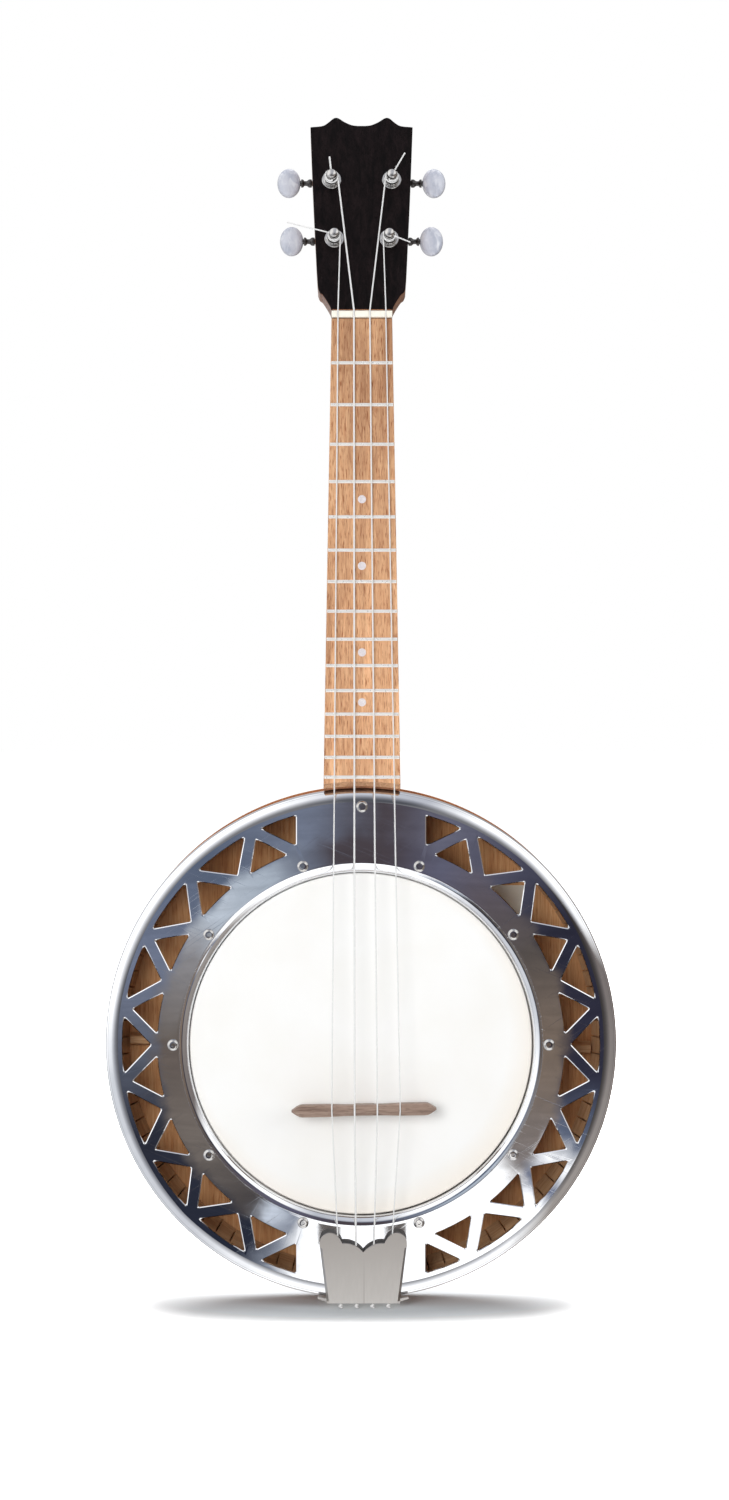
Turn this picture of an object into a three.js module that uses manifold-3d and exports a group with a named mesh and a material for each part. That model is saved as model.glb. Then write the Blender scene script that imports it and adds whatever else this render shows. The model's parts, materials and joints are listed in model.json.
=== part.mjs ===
// A tenor banjo ukulele: a skin head sunk into a round wooden body under a pierced metal plate,
// a leaning neck with fifteen frets, and four worm geared tuners behind a slanted headstock.
//
// Body frame, in millimetres: x to the right as the player's audience sees it, y from the plate's
// front face into the body, z up the neck, with the middle of the round plate at zero.
// The exported group is shifted so that its origin is the point where a wall hanger holds the neck.

import * as THREE from 'three';
import { mergeGeometries, mergeVertices } from 'three/addons/utils/BufferGeometryUtils.js';
import Module from 'manifold-3d';

const wasm = await Module();
wasm.setup();

// Driving sizes of the body
const plateRadius = 140;
const plateSheet = 1.2;
const plateRoll = 3.8;
const plateSkirt = 8;
const plateBand = 42;
const lipDepth = 9;
const sideThick = 2;
const bodyDepth = 43.5;
const backThick = 2.5;
const backOverhang = 1;
const liningThick = 4.7;
const frontLiningDepth = 11.5;
const backLiningHeight = 14;
const backLiningTip = 1.2;
const kerfWidth = 1;
const kerfCount = 40;
const kerfHinge = 1.2;

// Driving sizes of the drum
const filmThick = 0.3;
const filmDepth = 4;
const rimSetback = 12;
const rimWall = 6.6;
const collarSlack = 0.7;
const hoopThick = 3.7;
const hoopWidth = 4;
const flangeReach = 15.4;
const flangeDrop = 5;
const flangeSetback = 4.9;

// Driving sizes of the plate's openings
const outerRingInset = 9.8;
const outerApexRise = 16.6;
const innerApexInset = 13.9;
const innerRingRise = 13.3;
const windowSteps = 20;
const lastWindow = 4;
const outerSpread = 6.85;
const innerSpread = 5.9;
const endSpread = 6.8;

// Driving sizes of the screws
const boltReach = 10;
const boltHead = 3.1;
const boltHeadTall = 2.2;
const boltShank = 1.6;
const boltEndInset = 3;
const boltCount = 10;
const socketRadius = 1;
const socketDeep = 1.2;
const coverScrewInset = 9.8;
const coverScrewHead = 3.2;
const coverScrewLength = 20;

// Driving sizes of the blocks and the brace
const neckBlockWide = 56;
const tailBlockWide = 48;
const blockThick = 18;
const braceWide = 8;
const braceTall = 8;
const bracePlace = -4;
const braceTilt = 1.2;

// Driving sizes of the neck
const scaleLength = 430;
const fretCount = 15;
const fretWide = 2;
const fretTall = 1;
const neckLean = 2.4;
const fretboardRise = 4.5;
const fretboardReach = 1;
const fretboardBevel = 3;
const fretboardThick = 5;
const fretboardTail = 2.4;
const nutWide = 33;
const fretboardEndWide = 41.8;
const nutThick = 4;
const nutTall = 1.6;
const nutSlot = 0.5;
const neckThickTop = 14;
const neckThickLow = 17.5;
const heelInset = 13.5;
const heelLong = 34;
const neckOffset = 0.5;

// Driving sizes of the headstock
const headTilt = 14;
const headHalfWidth = 28.2;
const headLength = 113;
const headThick = 12.5;
const overlayThick = 1.5;
const hangerRise = 8;

// Driving sizes of the bridge and the tailpiece
const bridgeLong = 78.6;
const bridgeDeep = 6.5;
const bridgeWaist = 5.7;
const bridgeBar = 6;
const bridgeRoof = 1.4;
const bridgeFoot = 3;
const bridgeFootWide = 11;
const bridgeTop = 16;
const bridgeTilt = 1;
const bridgeShift = 1.5;
const tailpieceSheet = 1.2;
const tailpieceTopWide = 47.6;
const tailpieceLowWide = 40;
const tailpieceLong = 40;
const tailpieceRise = 1.7;
const tailpieceShift = 1.2;
const tailpieceWrap = 30;
const endPinRadius = 2;
const endPinHead = 4.5;
const endPinHeadTall = 3;
const endPinEdge = 1;
const endPinLong = 22;

// Driving sizes of the strings
const stringNames = ['string_g', 'string_c', 'string_e', 'string_a'];
const stringDiameters = [0.75, 1, 0.85, 0.7];
const nutSpacing = 8.67;
const bridgeSpacing = 12.35;
const bridgeStringShift = 2.6;
const tailSpacing = 8.7;
const tailStringShift = 1.9;
const knotRadius = 1.3;
const knotLong = 2.2;

// Driving sizes of the tuners
const lowerPostX = 15;
const upperPostX = 16.5;
const postRadius = 3;
const postNeck = 2.6;
const postCap = 2.85;
const postTall = 10.6;
const postCrown = 0.6;
const stringHole = 7.1;
const stringHoleMargin = 1;
const windingEnd = 3.6;
const windingTurns = 1.5;
const firstDrop = 1.5;
const elbowRadius = 0.6;
const stringTails = [24, 8.2, 12.3, 9.9];
const stringTailAngles = [165.4, 96, 119, 203];
const gearSeat = 2;
const gearTeeth = 14;
const gearPitchRadius = 4;
const gearThick = 3.4;
const toothHeight = 0.5;
const toothRoot = 0.62;
const wormPitchRadius = 2.4;
const wormLong = 7.2;
const wormDepth = 5.5;
const shaftRadius = 1.5;
const bushingFlange = 5.35;
const bushingTall = 2.5;
const bushingSleeve = 4.2;
const bushingLong = 11;
const plateBackThick = 1.2;
const plateBackLong = 20;
const plateBackTall = 17;
const earThick = 1.2;
const earTall = 8.4;
const collarRadius = 2.3;
const waistRadius = 1.35;
const collarLong = 2;
const buttonWide = 12.9;
const buttonTall = 16.9;
const buttonThick = 7;
const upperButtonX = 40.2;
const lowerButtonX = 38.6;
const buttonBore = 4;

// Clearances
const seat = 0.3;
const boltSlack = 0.3;
const bushingSlack = 0.3;
const turnSlack = 0.2;
const gearSlack = 0.2;
const wireSlack = 0.35;
const wormEarGap = 0.6;
const braceGap = 0.6;
const hoopGap = 0.3;
const overrun = 5;

// Counts of sides and steps
const ringSteps = 50;
const boltSides = 8;
const tunerSides = 12;
const rollSteps = 2;
const innerRollSteps = 1;
const wireSides = 8;
const windingSides = 6;
const loopSteps = 24;
const elbowSteps = 3;
const wormSides = 8;
const wormCorners = 4;
const buttonSteps = 6;

// Shares: each is a share of the size named beside it
const headOutlineShares = [
  [0.589, 0], [0.62, 0.024], [0.748, 0.078], [0.81, 0.092], [0.845, 0.113], [0.87, 0.2],
  [0.929, 0.507], [0.957, 0.667], [1, 0.95], [0.77, 0.956], [0.66, 0.972], [0.56, 0.994],
  [0.496, 1], [0.43, 0.994], [0.33, 0.977], [0.19, 0.961], [0.07, 0.957],
];
const neckRoundShare = 0.82;
const neckSectionSteps = 8;
const neckStationShares = [0.75, 0.5, 0.25, 0];
const heelShares = [[1, 0], [0.8, 0.04], [0.6, 0.12], [0.4, 0.3], [0.22, 0.62], [0.08, 0.9], [0, 1]];
const bridgeTipShare = 0.06;
const bridgeWaistShare = 0.22;
const tailpieceLobeShares = [
  [1, 0], [1, 0.84], [0.955, 0.925], [0.84, 0.985], [0.71, 1], [0.58, 0.975], [0.5, 0.9], [0.46, 0.84],
  [0.44, 0.812], [0.3, 0.8], [0.16, 0.77], [0.05, 0.72], [0, 0.69],
];
const toothWidthShares = [0.56, 0.24];
const threadWidthShares = [0.48, 0.2];
const filletShare = 0.5;
const postCrownShare = 0.75;
const collarTaperShare = 0.4;
const postRiseShares = [0.3664, 0.6717];

// A whole turn and a half turn, in degrees
const fullTurn = 360;
const halfTurn = fullTurn / 2;

// Derived sizes that several pieces share
const plateWindow = plateRadius - plateBand;
const outerRing = plateRadius - outerRingInset;
const outerApex = plateWindow + outerApexRise;
const innerApex = plateRadius - innerApexInset;
const innerRing = plateWindow + innerRingRise;
const coverScrewPlace = plateRadius - coverScrewInset;
const rimInner = plateWindow - rimSetback;
const skirtInner = plateRadius - plateSheet;
const sideOuter = skirtInner - seat;
const sideInner = sideOuter - sideThick;
const sideTop = plateRoll + seat;
const liningOuter = sideInner - seat;
const liningInner = liningOuter - liningThick;
const underPlate = plateSheet + seat;
const rimEdge = rimInner + rimWall;
const collarOuter = rimEdge + collarSlack + filmThick;
const filmBack = filmDepth + filmThick;
const hoopTop = lipDepth + hoopGap;
const hoopBottom = hoopTop + hoopThick;
const hoopOuter = collarOuter + hoopWidth;
const lipInner = plateWindow - plateRoll;
const braceTop = bodyDepth - braceTall;
const rimBottom = braceTop - braceGap;
const flangeTop = hoopBottom + flangeDrop;
const flangeBack = rimBottom - flangeSetback;
const boltRing = rimEdge + boltReach;
const boltLength = flangeBack - boltEndInset;
const fretboardEnd = plateRadius + fretboardReach;
const fretboardLong = fretboardTail - fretPlace(fretCount);
const heelTall = bodyDepth - heelInset;
const [lowerPostRise, upperPostRise] = postRiseShares.map((share) => share * headLength);
const middleString = (stringNames.length - 1) / 2;
const overlayFace = overlayThick + seat;
const boltHole = boltShank + boltSlack;
const lead = 2 * Math.PI * gearPitchRadius / gearTeeth;
const wormCrest = wormPitchRadius + toothHeight;
const wormRoot = wormPitchRadius - toothHeight;
const wormCentre = gearPitchRadius + wormPitchRadius;
const wormPlace = headThick + wormDepth;
const gearFront = wormPlace - gearThick / 2;
const radians = THREE.MathUtils.degToRad;

// Working with solids

function solidOf(geometry) {
  const bare = geometry.clone();
  bare.deleteAttribute('normal');
  bare.deleteAttribute('uv');
  const merged = mergeVertices(bare);
  const corners = merged.index.array;
  const kept = [];
  for (let i = 0; i < corners.length; i += 3) {
    const [a, b, c] = [corners[i], corners[i + 1], corners[i + 2]];
    if (a !== b && b !== c && c !== a) {
      kept.push(a, b, c);
    }
  }
  return new wasm.Manifold(new wasm.Mesh({
    numProp: 3,
    vertProperties: new Float32Array(merged.attributes.position.array),
    triVerts: new Uint32Array(kept),
  }));
}

function geometryOf(solid) {
  const mesh = solid.getMesh();
  const geometry = new THREE.BufferGeometry();
  geometry.setAttribute('position', new THREE.BufferAttribute(mesh.vertProperties, mesh.numProp));
  geometry.setIndex(new THREE.BufferAttribute(mesh.triVerts, 1));
  return geometry;
}

function joined(...geometries) {
  let whole = solidOf(geometries[0]);
  for (const geometry of geometries.slice(1)) {
    whole = whole.add(solidOf(geometry));
  }
  return geometryOf(whole);
}

function cut(base, ...tools) {
  let rest = solidOf(base);
  for (const tool of tools) {
    rest = rest.subtract(solidOf(tool));
  }
  return geometryOf(rest);
}

function shared(first, second) {
  return geometryOf(solidOf(first).intersect(solidOf(second)));
}

function mirrored(geometry) {
  const flipped = geometry.index ? geometry.toNonIndexed() : geometry.clone();
  flipped.scale(-1, 1, 1);
  const positions = flipped.attributes.position;
  const corner = new THREE.Vector3();
  const other = new THREE.Vector3();
  for (let i = 0; i < positions.count; i += 3) {
    corner.fromBufferAttribute(positions, i + 1);
    other.fromBufferAttribute(positions, i + 2);
    positions.setXYZ(i + 1, other.x, other.y, other.z);
    positions.setXYZ(i + 2, corner.x, corner.y, corner.z);
  }
  flipped.deleteAttribute('normal');
  return flipped;
}

// Basic shapes

function polygon(points) {
  return new THREE.Shape(points.map(([x, z]) => new THREE.Vector2(x, z)));
}

// A flat outline drawn in x and z, with its thickness from front to back
function slab(shape, front, back) {
  const geometry = new THREE.ExtrudeGeometry(shape, { depth: back - front, bevelEnabled: false });
  geometry.rotateX(Math.PI / 2);
  geometry.translate(0, back, 0);
  return geometry;
}

function block(left, right, front, back, low, high) {
  const geometry = new THREE.BoxGeometry(right - left, back - front, high - low);
  geometry.translate((left + right) / 2, (front + back) / 2, (low + high) / 2);
  return geometry;
}

// A profile of radius and depth turned about the y axis, running outwards as its area says
function turned(profile, steps) {
  const points = profile.map(([radius, depth]) => new THREE.Vector2(radius, depth));
  const onAxis = profile[0][0] === 0 && profile[profile.length - 1][0] === 0;
  if (THREE.ShapeUtils.area(points) < 0) {
    points.reverse();
  }
  if (!onAxis) {
    points.push(points[0].clone());
  }
  return new THREE.LatheGeometry(points, steps);
}

function rod(radius, front, back, steps) {
  return turned([[0, front], [radius, front], [radius, back], [0, back]], steps);
}

// A profile of depth and height, drawn out from left to right
function bladed(profile, left, right) {
  const shape = new THREE.Shape(profile.map(([depth, z]) => new THREE.Vector2(-z, depth)));
  const geometry = new THREE.ExtrudeGeometry(shape, { depth: right - left, bevelEnabled: false });
  geometry.rotateY(Math.PI / 2);
  geometry.translate(left, 0, 0);
  return geometry;
}

function ring(inner, outer, front, back, steps) {
  return turned([[inner, front], [outer, front], [outer, back], [inner, back]], steps);
}

function arc(centreRadius, centreDepth, radius, from, to, steps) {
  const points = [];
  for (let i = 0; i <= steps; i += 1) {
    const angle = radians(from + (to - from) * i / steps);
    points.push([centreRadius + radius * Math.cos(angle), centreDepth + radius * Math.sin(angle)]);
  }
  return points;
}

function polar(radius, degrees) {
  return [radius * Math.cos(radians(degrees)), radius * Math.sin(radians(degrees))];
}

// A wire follows the points of its route exactly
class Route extends THREE.Curve {
  constructor(points) {
    super();
    this.points = points;
  }

  getPoint(t, target = new THREE.Vector3()) {
    const place = t * (this.points.length - 1);
    const index = Math.min(Math.floor(place), this.points.length - 2);
    return target.lerpVectors(this.points[index], this.points[index + 1], place - index);
  }

  getPointAt(u, target) {
    return this.getPoint(u, target);
  }

  getTangentAt(u, target) {
    return this.getTangent(u, target);
  }
}

function wire(points, radius, sides) {
  const section = [];
  for (let i = 0; i < sides; i += 1) {
    section.push(polar(radius, fullTurn * i / sides));
  }
  const extrudePath = new Route(points);
  const steps = points.length - 1;
  return new THREE.ExtrudeGeometry(polygon(section), { steps, extrudePath, bevelEnabled: false });
}

// Rings of equally many points, joined into a closed skin with flat ends
function loft(rings) {
  const count = rings[0].length;
  const places = rings.flat().flatMap((point) => [point.x, point.y, point.z]);
  const faces = [];
  for (let i = 0; i + 1 < rings.length; i += 1) {
    for (let j = 0; j < count; j += 1) {
      const a = i * count + j;
      const b = i * count + (j + 1) % count;
      faces.push(a, b, b + count, a, b + count, a + count);
    }
  }
  const last = (rings.length - 1) * count;
  for (let j = 1; j + 1 < count; j += 1) {
    faces.push(0, j + 1, j);
    faces.push(last, last + j, last + j + 1);
  }
  const geometry = new THREE.BufferGeometry();
  geometry.setAttribute('position', new THREE.Float32BufferAttribute(places, 3));
  geometry.setIndex(faces);
  return geometry;
}

// Finishes

function finish(color, roughness, metalness) {
  return new THREE.MeshStandardMaterial({ color, roughness, metalness });
}

const finishes = {
  polishedSteel: finish(0xc9ccd0, 0.12, 1),
  satinSteel: finish(0xb9b2ab, 0.35, 1),
  chrome: finish(0xdadcdf, 0.08, 1),
  blackMetal: finish(0x14110f, 0.35, 1),
  brass: finish(0xb08d4a, 0.35, 1),
  skin: finish(0xf7f6f3, 0.45, 0),
  paleWood: finish(0xc9a36c, 0.6, 0),
  backWood: finish(0x8a5a34, 0.55, 0),
  neckWood: finish(0x7c4526, 0.45, 0),
  fretboardWood: finish(0xa8703f, 0.55, 0),
  ebony: finish(0x16100f, 0.4, 0),
  bridgeWood: finish(0x8b6f60, 0.55, 0),
  bone: finish(0xf3ecdc, 0.4, 0),
  pearl: finish(0xd4d6e0, 0.25, 0),
  nylon: finish(0xdfe1e2, 0.3, 0),
};

const instrument = new THREE.Group();
const body = new THREE.Group();
instrument.add(body);

function place(group, name, geometry, material) {
  const mesh = new THREE.Mesh(geometry, material);
  mesh.name = name;
  group.add(mesh);
  return mesh;
}

// Frames of the neck and the headstock
const neckFrame = new THREE.Matrix4().makeRotationX(-radians(neckLean));
neckFrame.setPosition(
  neckOffset,
  fretboardLong * Math.sin(radians(neckLean)) - fretboardRise,
  fretboardLong * Math.cos(radians(neckLean)) + fretboardEnd + fretboardBevel,
);
const headFrame = new THREE.Matrix4().makeRotationX(-radians(headTilt));
headFrame.setPosition(0, fretboardThick + seat, nutThick + 2 * seat);
const headInBody = neckFrame.clone().multiply(headFrame);

function framed(parent, matrix) {
  const group = new THREE.Group();
  matrix.decompose(group.position, group.quaternion, group.scale);
  parent.add(group);
  return group;
}

const neckGroup = framed(body, neckFrame);
const headGroup = framed(neckGroup, headFrame);

// The hanger holds the neck under the headstock's shoulders, in the middle of the wood
const hangerPoint = new THREE.Vector3(0, headThick / 2, hangerRise).applyMatrix4(headInBody);
body.position.copy(hangerPoint).negate();

// Sound box: side, back, linings, blocks and brace
const endPinDepth = (sideTop + bodyDepth) / 2;
const endPinHole = endPinRadius + boltSlack;
const wrapInner = plateRadius + seat;
const wrapOuter = wrapInner + tailpieceSheet;

function alongZ(geometry, x, y, z) {
  geometry.rotateX(Math.PI / 2);
  geometry.translate(x, y, z);
  return geometry;
}

function endPinCutter() {
  const hole = rod(endPinHole, -wrapOuter - overrun, -rimEdge, boltSides);
  return alongZ(hole, tailpieceShift, endPinDepth, 0);
}

function sideRim() {
  return cut(ring(sideInner, sideOuter, sideTop, bodyDepth, ringSteps), endPinCutter());
}

function backPlate() {
  const edge = sideOuter + backOverhang;
  const chamfer = backThick / 3;
  return turned([
    [0, bodyDepth], [edge, bodyDepth], [edge, bodyDepth + backThick - chamfer],
    [edge - chamfer, bodyDepth + backThick], [0, bodyDepth + backThick],
  ], ringSteps);
}

function backLiningRing(gap) {
  const front = bodyDepth - backLiningHeight - gap;
  return turned([
    [liningInner - gap, bodyDepth + gap], [liningOuter + gap, bodyDepth + gap],
    [liningOuter + gap, front], [liningOuter - backLiningTip - gap, front],
  ], ringSteps);
}

function backLining() {
  const kerf = block(
    liningInner - overrun, liningOuter - kerfHinge,
    bodyDepth - backLiningHeight - overrun, bodyDepth + overrun, -kerfWidth / 2, kerfWidth / 2,
  );
  const kerfs = [];
  for (let i = 0; i < kerfCount; i += 1) {
    kerfs.push(kerf.clone().rotateY(2 * Math.PI * (i + 0.5) / kerfCount));
  }
  return cut(backLiningRing(0), mergeGeometries(kerfs));
}

function frontLiningRing(gap) {
  const back = underPlate + frontLiningDepth;
  return ring(liningInner - gap, liningOuter + gap, underPlate - gap, back + gap, ringSteps);
}

function endBlock(wide, side) {
  const low = liningOuter - blockThick;
  const slabs = [low, liningOuter + overrun].map((z) => z * side).sort((a, b) => a - b);
  const whole = block(-wide / 2, wide / 2, underPlate, bodyDepth, slabs[0], slabs[1]);
  const trimmed = shared(whole, rod(liningOuter, underPlate - overrun, bodyDepth + overrun, ringSteps));
  return cut(trimmed, frontLiningRing(seat), backLiningRing(seat));
}

function coverScrewHole() {
  const hole = rod(boltHole, -overrun, coverScrewLength + seat, boltSides);
  return hole.translate(neckOffset, 0, coverScrewPlace);
}

function neckBlock() {
  return cut(endBlock(neckBlockWide, 1), coverScrewHole());
}

function tailBlock() {
  return cut(endBlock(tailBlockWide, -1), endPinCutter());
}

function backBrace() {
  const long = liningOuter;
  const bar = bladed([
    [bodyDepth, -braceWide / 2], [bodyDepth, braceWide / 2],
    [braceTop, braceWide / 4], [braceTop, -braceWide / 4],
  ], -long, long);
  bar.rotateY(radians(braceTilt));
  bar.translate(0, 0, bracePlace);
  return shared(bar, rod(liningInner - seat, 0, bodyDepth + overrun, ringSteps));
}

place(body, 'back_plate', backPlate(), finishes.backWood);
place(body, 'side_rim', sideRim(), finishes.backWood);
place(body, 'back_lining', backLining(), finishes.paleWood);
place(body, 'front_lining', cut(frontLiningRing(0), coverScrewHole()), finishes.paleWood);
place(body, 'neck_block', neckBlock(), finishes.paleWood);
place(body, 'tail_block', tailBlock(), finishes.paleWood);
place(body, 'back_brace', backBrace(), finishes.paleWood);

// Drum: wooden rim with its bolt flange, and the skin with the hoop that it is folded round
const boltPlaces = [];
for (let i = 0; i < boltCount; i += 1) {
  const turn = fullTurn * (i + 0.5) / boltCount;
  boltPlaces.push([boltRing * Math.sin(radians(turn)), boltRing * Math.cos(radians(turn))]);
}

function boltHoles(front, back) {
  const holes = boltPlaces.map(([x, z]) => rod(boltHole, front, back, boltSides).translate(x, 0, z));
  return mergeGeometries(holes);
}

function drumRim() {
  const flangeEdge = rimEdge + flangeReach;
  const bead = rimWall / 4;
  const whole = turned([
    [rimInner, filmBack + bead], [rimInner + bead, filmBack], [rimEdge, filmBack], [rimEdge, flangeTop],
    [flangeEdge, flangeTop], [flangeEdge, flangeBack], [rimEdge, flangeBack], [rimEdge, rimBottom],
    [rimInner, rimBottom],
  ], ringSteps);
  return cut(whole, boltHoles(flangeTop - overrun, flangeBack + overrun));
}

function drumHead() {
  return turned([
    [0, filmDepth], [collarOuter, filmDepth], [collarOuter, hoopTop], [hoopOuter, hoopTop],
    [hoopOuter, hoopBottom], [collarOuter - filmThick, hoopBottom], [collarOuter - filmThick, filmBack],
    [0, filmBack],
  ], ringSteps);
}

place(body, 'drum_rim', drumRim(), finishes.paleWood);
place(body, 'drum_head', drumHead(), finishes.skin);

// Cover plate: one spun sheet with a rolled edge, a lip round the skin and two rows of triangles
function sheetProfile() {
  const flat = plateRadius - plateRoll;
  const inner = plateRoll - plateSheet;
  return [
    ...arc(flat, plateRoll, plateRoll, -90, 0, rollSteps),
    [plateRadius, plateSkirt],
    [skirtInner, plateSkirt],
    ...arc(flat, plateRoll, inner, 0, -90, innerRollSteps),
    ...arc(plateWindow, plateRoll, inner, -90, -180, innerRollSteps),
    [lipInner + plateSheet, lipDepth],
    [lipInner, lipDepth],
    ...arc(plateWindow, plateRoll, plateRoll, -180, -90, rollSteps),
  ];
}

// The three kinds of opening on the right half; the left half mirrors them
function windowOutlines() {
  const pitch = fullTurn / windowSteps;
  const outlines = [];
  for (let i = 1 - lastWindow; i < lastWindow; i += 1) {
    const angle = i * pitch;
    outlines.push([
      polar(outerApex, angle), polar(outerRing, angle - outerSpread),
      polar(outerRing, angle), polar(outerRing, angle + outerSpread),
    ]);
  }
  for (let i = -lastWindow; i < lastWindow; i += 1) {
    const angle = (i + 0.5) * pitch;
    outlines.push([
      polar(innerApex, angle), polar(innerRing, angle + innerSpread),
      polar(innerRing, angle), polar(innerRing, angle - innerSpread),
    ]);
  }
  const [edgeX, edgeZ] = polar(outerApex, lastWindow * pitch);
  const [baseX, baseZ] = polar(outerRing, lastWindow * pitch - endSpread);
  const arcEnd = Math.sqrt(outerRing ** 2 - edgeX ** 2);
  for (const end of [-1, 1]) {
    outlines.push([[edgeX, edgeZ * end], [baseX, baseZ * end], [edgeX, arcEnd * end]]);
  }
  return outlines;
}

function coverPlate() {
  const cutters = [];
  for (const side of [-1, 1]) {
    for (const outline of windowOutlines()) {
      const shape = polygon(outline.map(([x, z]) => [x * side, z]));
      cutters.push(slab(shape, -overrun, plateSheet + overrun));
    }
  }
  const holes = boltHoles(-overrun, overrun);
  return cut(turned(sheetProfile(), ringSteps), mergeGeometries(cutters), holes, coverScrewHole());
}

// Screws with a button head and a round socket, standing on the plate
function buttonScrew(head, tall, shank, long) {
  const shoulder = tall / 3;
  const crown = head * 2 / 3;
  return turned([
    [0, socketDeep - tall], [socketRadius, socketDeep - tall], [socketRadius, -tall], [crown, -tall],
    [head, -shoulder], [head, 0], [shank, 0], [shank, long], [0, long],
  ], boltSides);
}

place(body, 'cover_plate', coverPlate(), finishes.polishedSteel);
const coverScrew = place(
  body, 'cover_screw_top',
  buttonScrew(coverScrewHead, boltHeadTall, boltShank, coverScrewLength), finishes.chrome,
);
coverScrew.position.set(neckOffset, 0, coverScrewPlace);
boltPlaces.forEach(([x, z], i) => {
  const name = `tension_bolt_${String(i + 1).padStart(2, '0')}`;
  const screw = buttonScrew(boltHead, boltHeadTall, boltShank, boltLength);
  place(body, name, screw, finishes.chrome).position.set(x, 0, z);
});

// The strings' places at the nut and at the bridge, where the scale length ends
const nutStringDepths = stringDiameters.map((diameter) => nutSlot - nutTall - seat - diameter / 2);
const nutLine = new THREE.Vector3().applyMatrix4(neckFrame);
const bridgeZ = nutLine.z - Math.sqrt(scaleLength ** 2 - (nutLine.y + bridgeTop) ** 2);

// Tailpiece: a folded sheet that stands over the strings, as steep as the thickest of them, and
// hooks round the bottom of the body
const stringHoleDepth = -tailpieceRise + seat * 3;
const stringRise = bridgeTop + seat + Math.max(...stringDiameters) / 2 + stringHoleDepth;
const tailpieceSlope = stringRise / (wrapOuter + bridgeZ);
const tailHoleXs = stringNames.map((name, i) => tailStringShift + (i - middleString) * tailSpacing);

function tailpieceFace(z) {
  return -(tailpieceRise + tailpieceSheet) - tailpieceSlope * (z + wrapOuter);
}

function tailpiece() {
  const half = tailpieceTopWide / 2;
  const low = tailpieceLowWide / 2;
  const lobes = tailpieceLobeShares.map(([x, z]) => [x * half, z * tailpieceLong]);
  const right = [[low, 0], ...lobes];
  const left = right.slice(0, -1).reverse().map(([x, z]) => [-x, z]);
  const face = slab(polygon([...right, ...left]), 0, tailpieceSheet);
  face.rotateX(Math.atan(tailpieceSlope));
  face.translate(0, tailpieceFace(-wrapOuter), -wrapOuter);
  const flangeTopZ = tailpieceLong * tailpieceLobeShares[1][1] - wrapOuter;
  const flanges = [-1, 1].map((side) => loft([[low, -wrapOuter], [half, flangeTopZ]].map(([edge, z]) => {
    const xs = [edge * side, (edge - tailpieceSheet) * side].sort((a, b) => a - b);
    const front = tailpieceFace(z) + tailpieceSheet * filletShare;
    return [[xs[0], front], [xs[1], front], [xs[1], -seat], [xs[0], -seat]]
      .map(([x, y]) => new THREE.Vector3(x, y, z));
  })));
  const wrap = block(-low, low, tailpieceFace(-wrapOuter), tailpieceWrap, -wrapOuter, -wrapInner);
  const whole = joined(face, wrap, ...flanges);
  whole.translate(tailpieceShift, 0, 0);
  const holes = tailHoleXs.map((x, i) => alongZ(
    rod(stringDiameters[i] / 2 + wireSlack, -overrun, overrun, boltSides),
    x, stringHoleDepth, -wrapOuter,
  ));
  return cut(whole, mergeGeometries(holes), endPinCutter());
}

function endPin() {
  const crown = endPinHead * 2 / 3;
  const pin = turned([
    [0, -wrapOuter - endPinHeadTall], [crown, -wrapOuter - endPinHeadTall],
    [endPinHead, -wrapOuter - endPinEdge], [endPinHead, -wrapOuter], [endPinRadius, -wrapOuter],
    [endPinRadius, endPinLong - wrapOuter], [0, endPinLong - wrapOuter],
  ], boltSides);
  return alongZ(pin, tailpieceShift, endPinDepth, 0);
}

place(body, 'tailpiece', tailpiece(), finishes.satinSteel);
place(body, 'end_pin', endPin(), finishes.chrome);

// Neck: a tapering round back with a heel cut to the body, and the headstock in one piece with it
function neckHalf(z) {
  const along = Math.min(Math.max(-z, 0), fretboardLong) / fretboardLong;
  return (nutWide + (fretboardEndWide - nutWide) * along) / 2;
}

function neckDepth(z) {
  const along = Math.min(Math.max(-z, 0), fretboardLong) / fretboardLong;
  return neckThickTop + (neckThickLow - neckThickTop) * along;
}

function neckSection(z, extra) {
  const half = neckHalf(z);
  const depth = neckDepth(z) + extra;
  const points = [];
  for (let i = 0; i <= neckSectionSteps; i += 1) {
    const angle = Math.PI * i / neckSectionSteps;
    const down = fretboardThick + seat + depth * Math.sin(angle) ** neckRoundShare;
    points.push(new THREE.Vector3(half * Math.cos(angle), down, z));
  }
  return points;
}

function headOutline(edge) {
  const right = headOutlineShares.map(([x, z]) => [x * headHalfWidth, Math.max(z * headLength, edge)]);
  const left = right.slice().reverse().map(([x, z]) => [-x, z]);
  return polygon([...right, ...left]);
}

function bodyCutter(radius, front, back) {
  const geometry = rod(radius, front, back, ringSteps);
  geometry.applyMatrix4(neckFrame.clone().invert());
  return geometry;
}

// The tuners in the order of their strings; side is 1 on the left, where each is drawn
const lowerTuner = { x: lowerPostX, rise: lowerPostRise, buttonX: lowerButtonX };
const upperTuner = { x: upperPostX, rise: upperPostRise, buttonX: upperButtonX };
const tuners = [
  { name: 'lower_left', side: 1, ...lowerTuner },
  { name: 'upper_left', side: 1, ...upperTuner },
  { name: 'upper_right', side: -1, ...upperTuner },
  { name: 'lower_right', side: -1, ...lowerTuner },
];

function sleeveHoles() {
  const radius = bushingSleeve + bushingSlack;
  const rods = tuners.map((tuner) => rod(radius, -overrun, headThick + overrun, tunerSides)
    .translate(-tuner.side * tuner.x, 0, tuner.rise));
  return mergeGeometries(rods);
}

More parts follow.
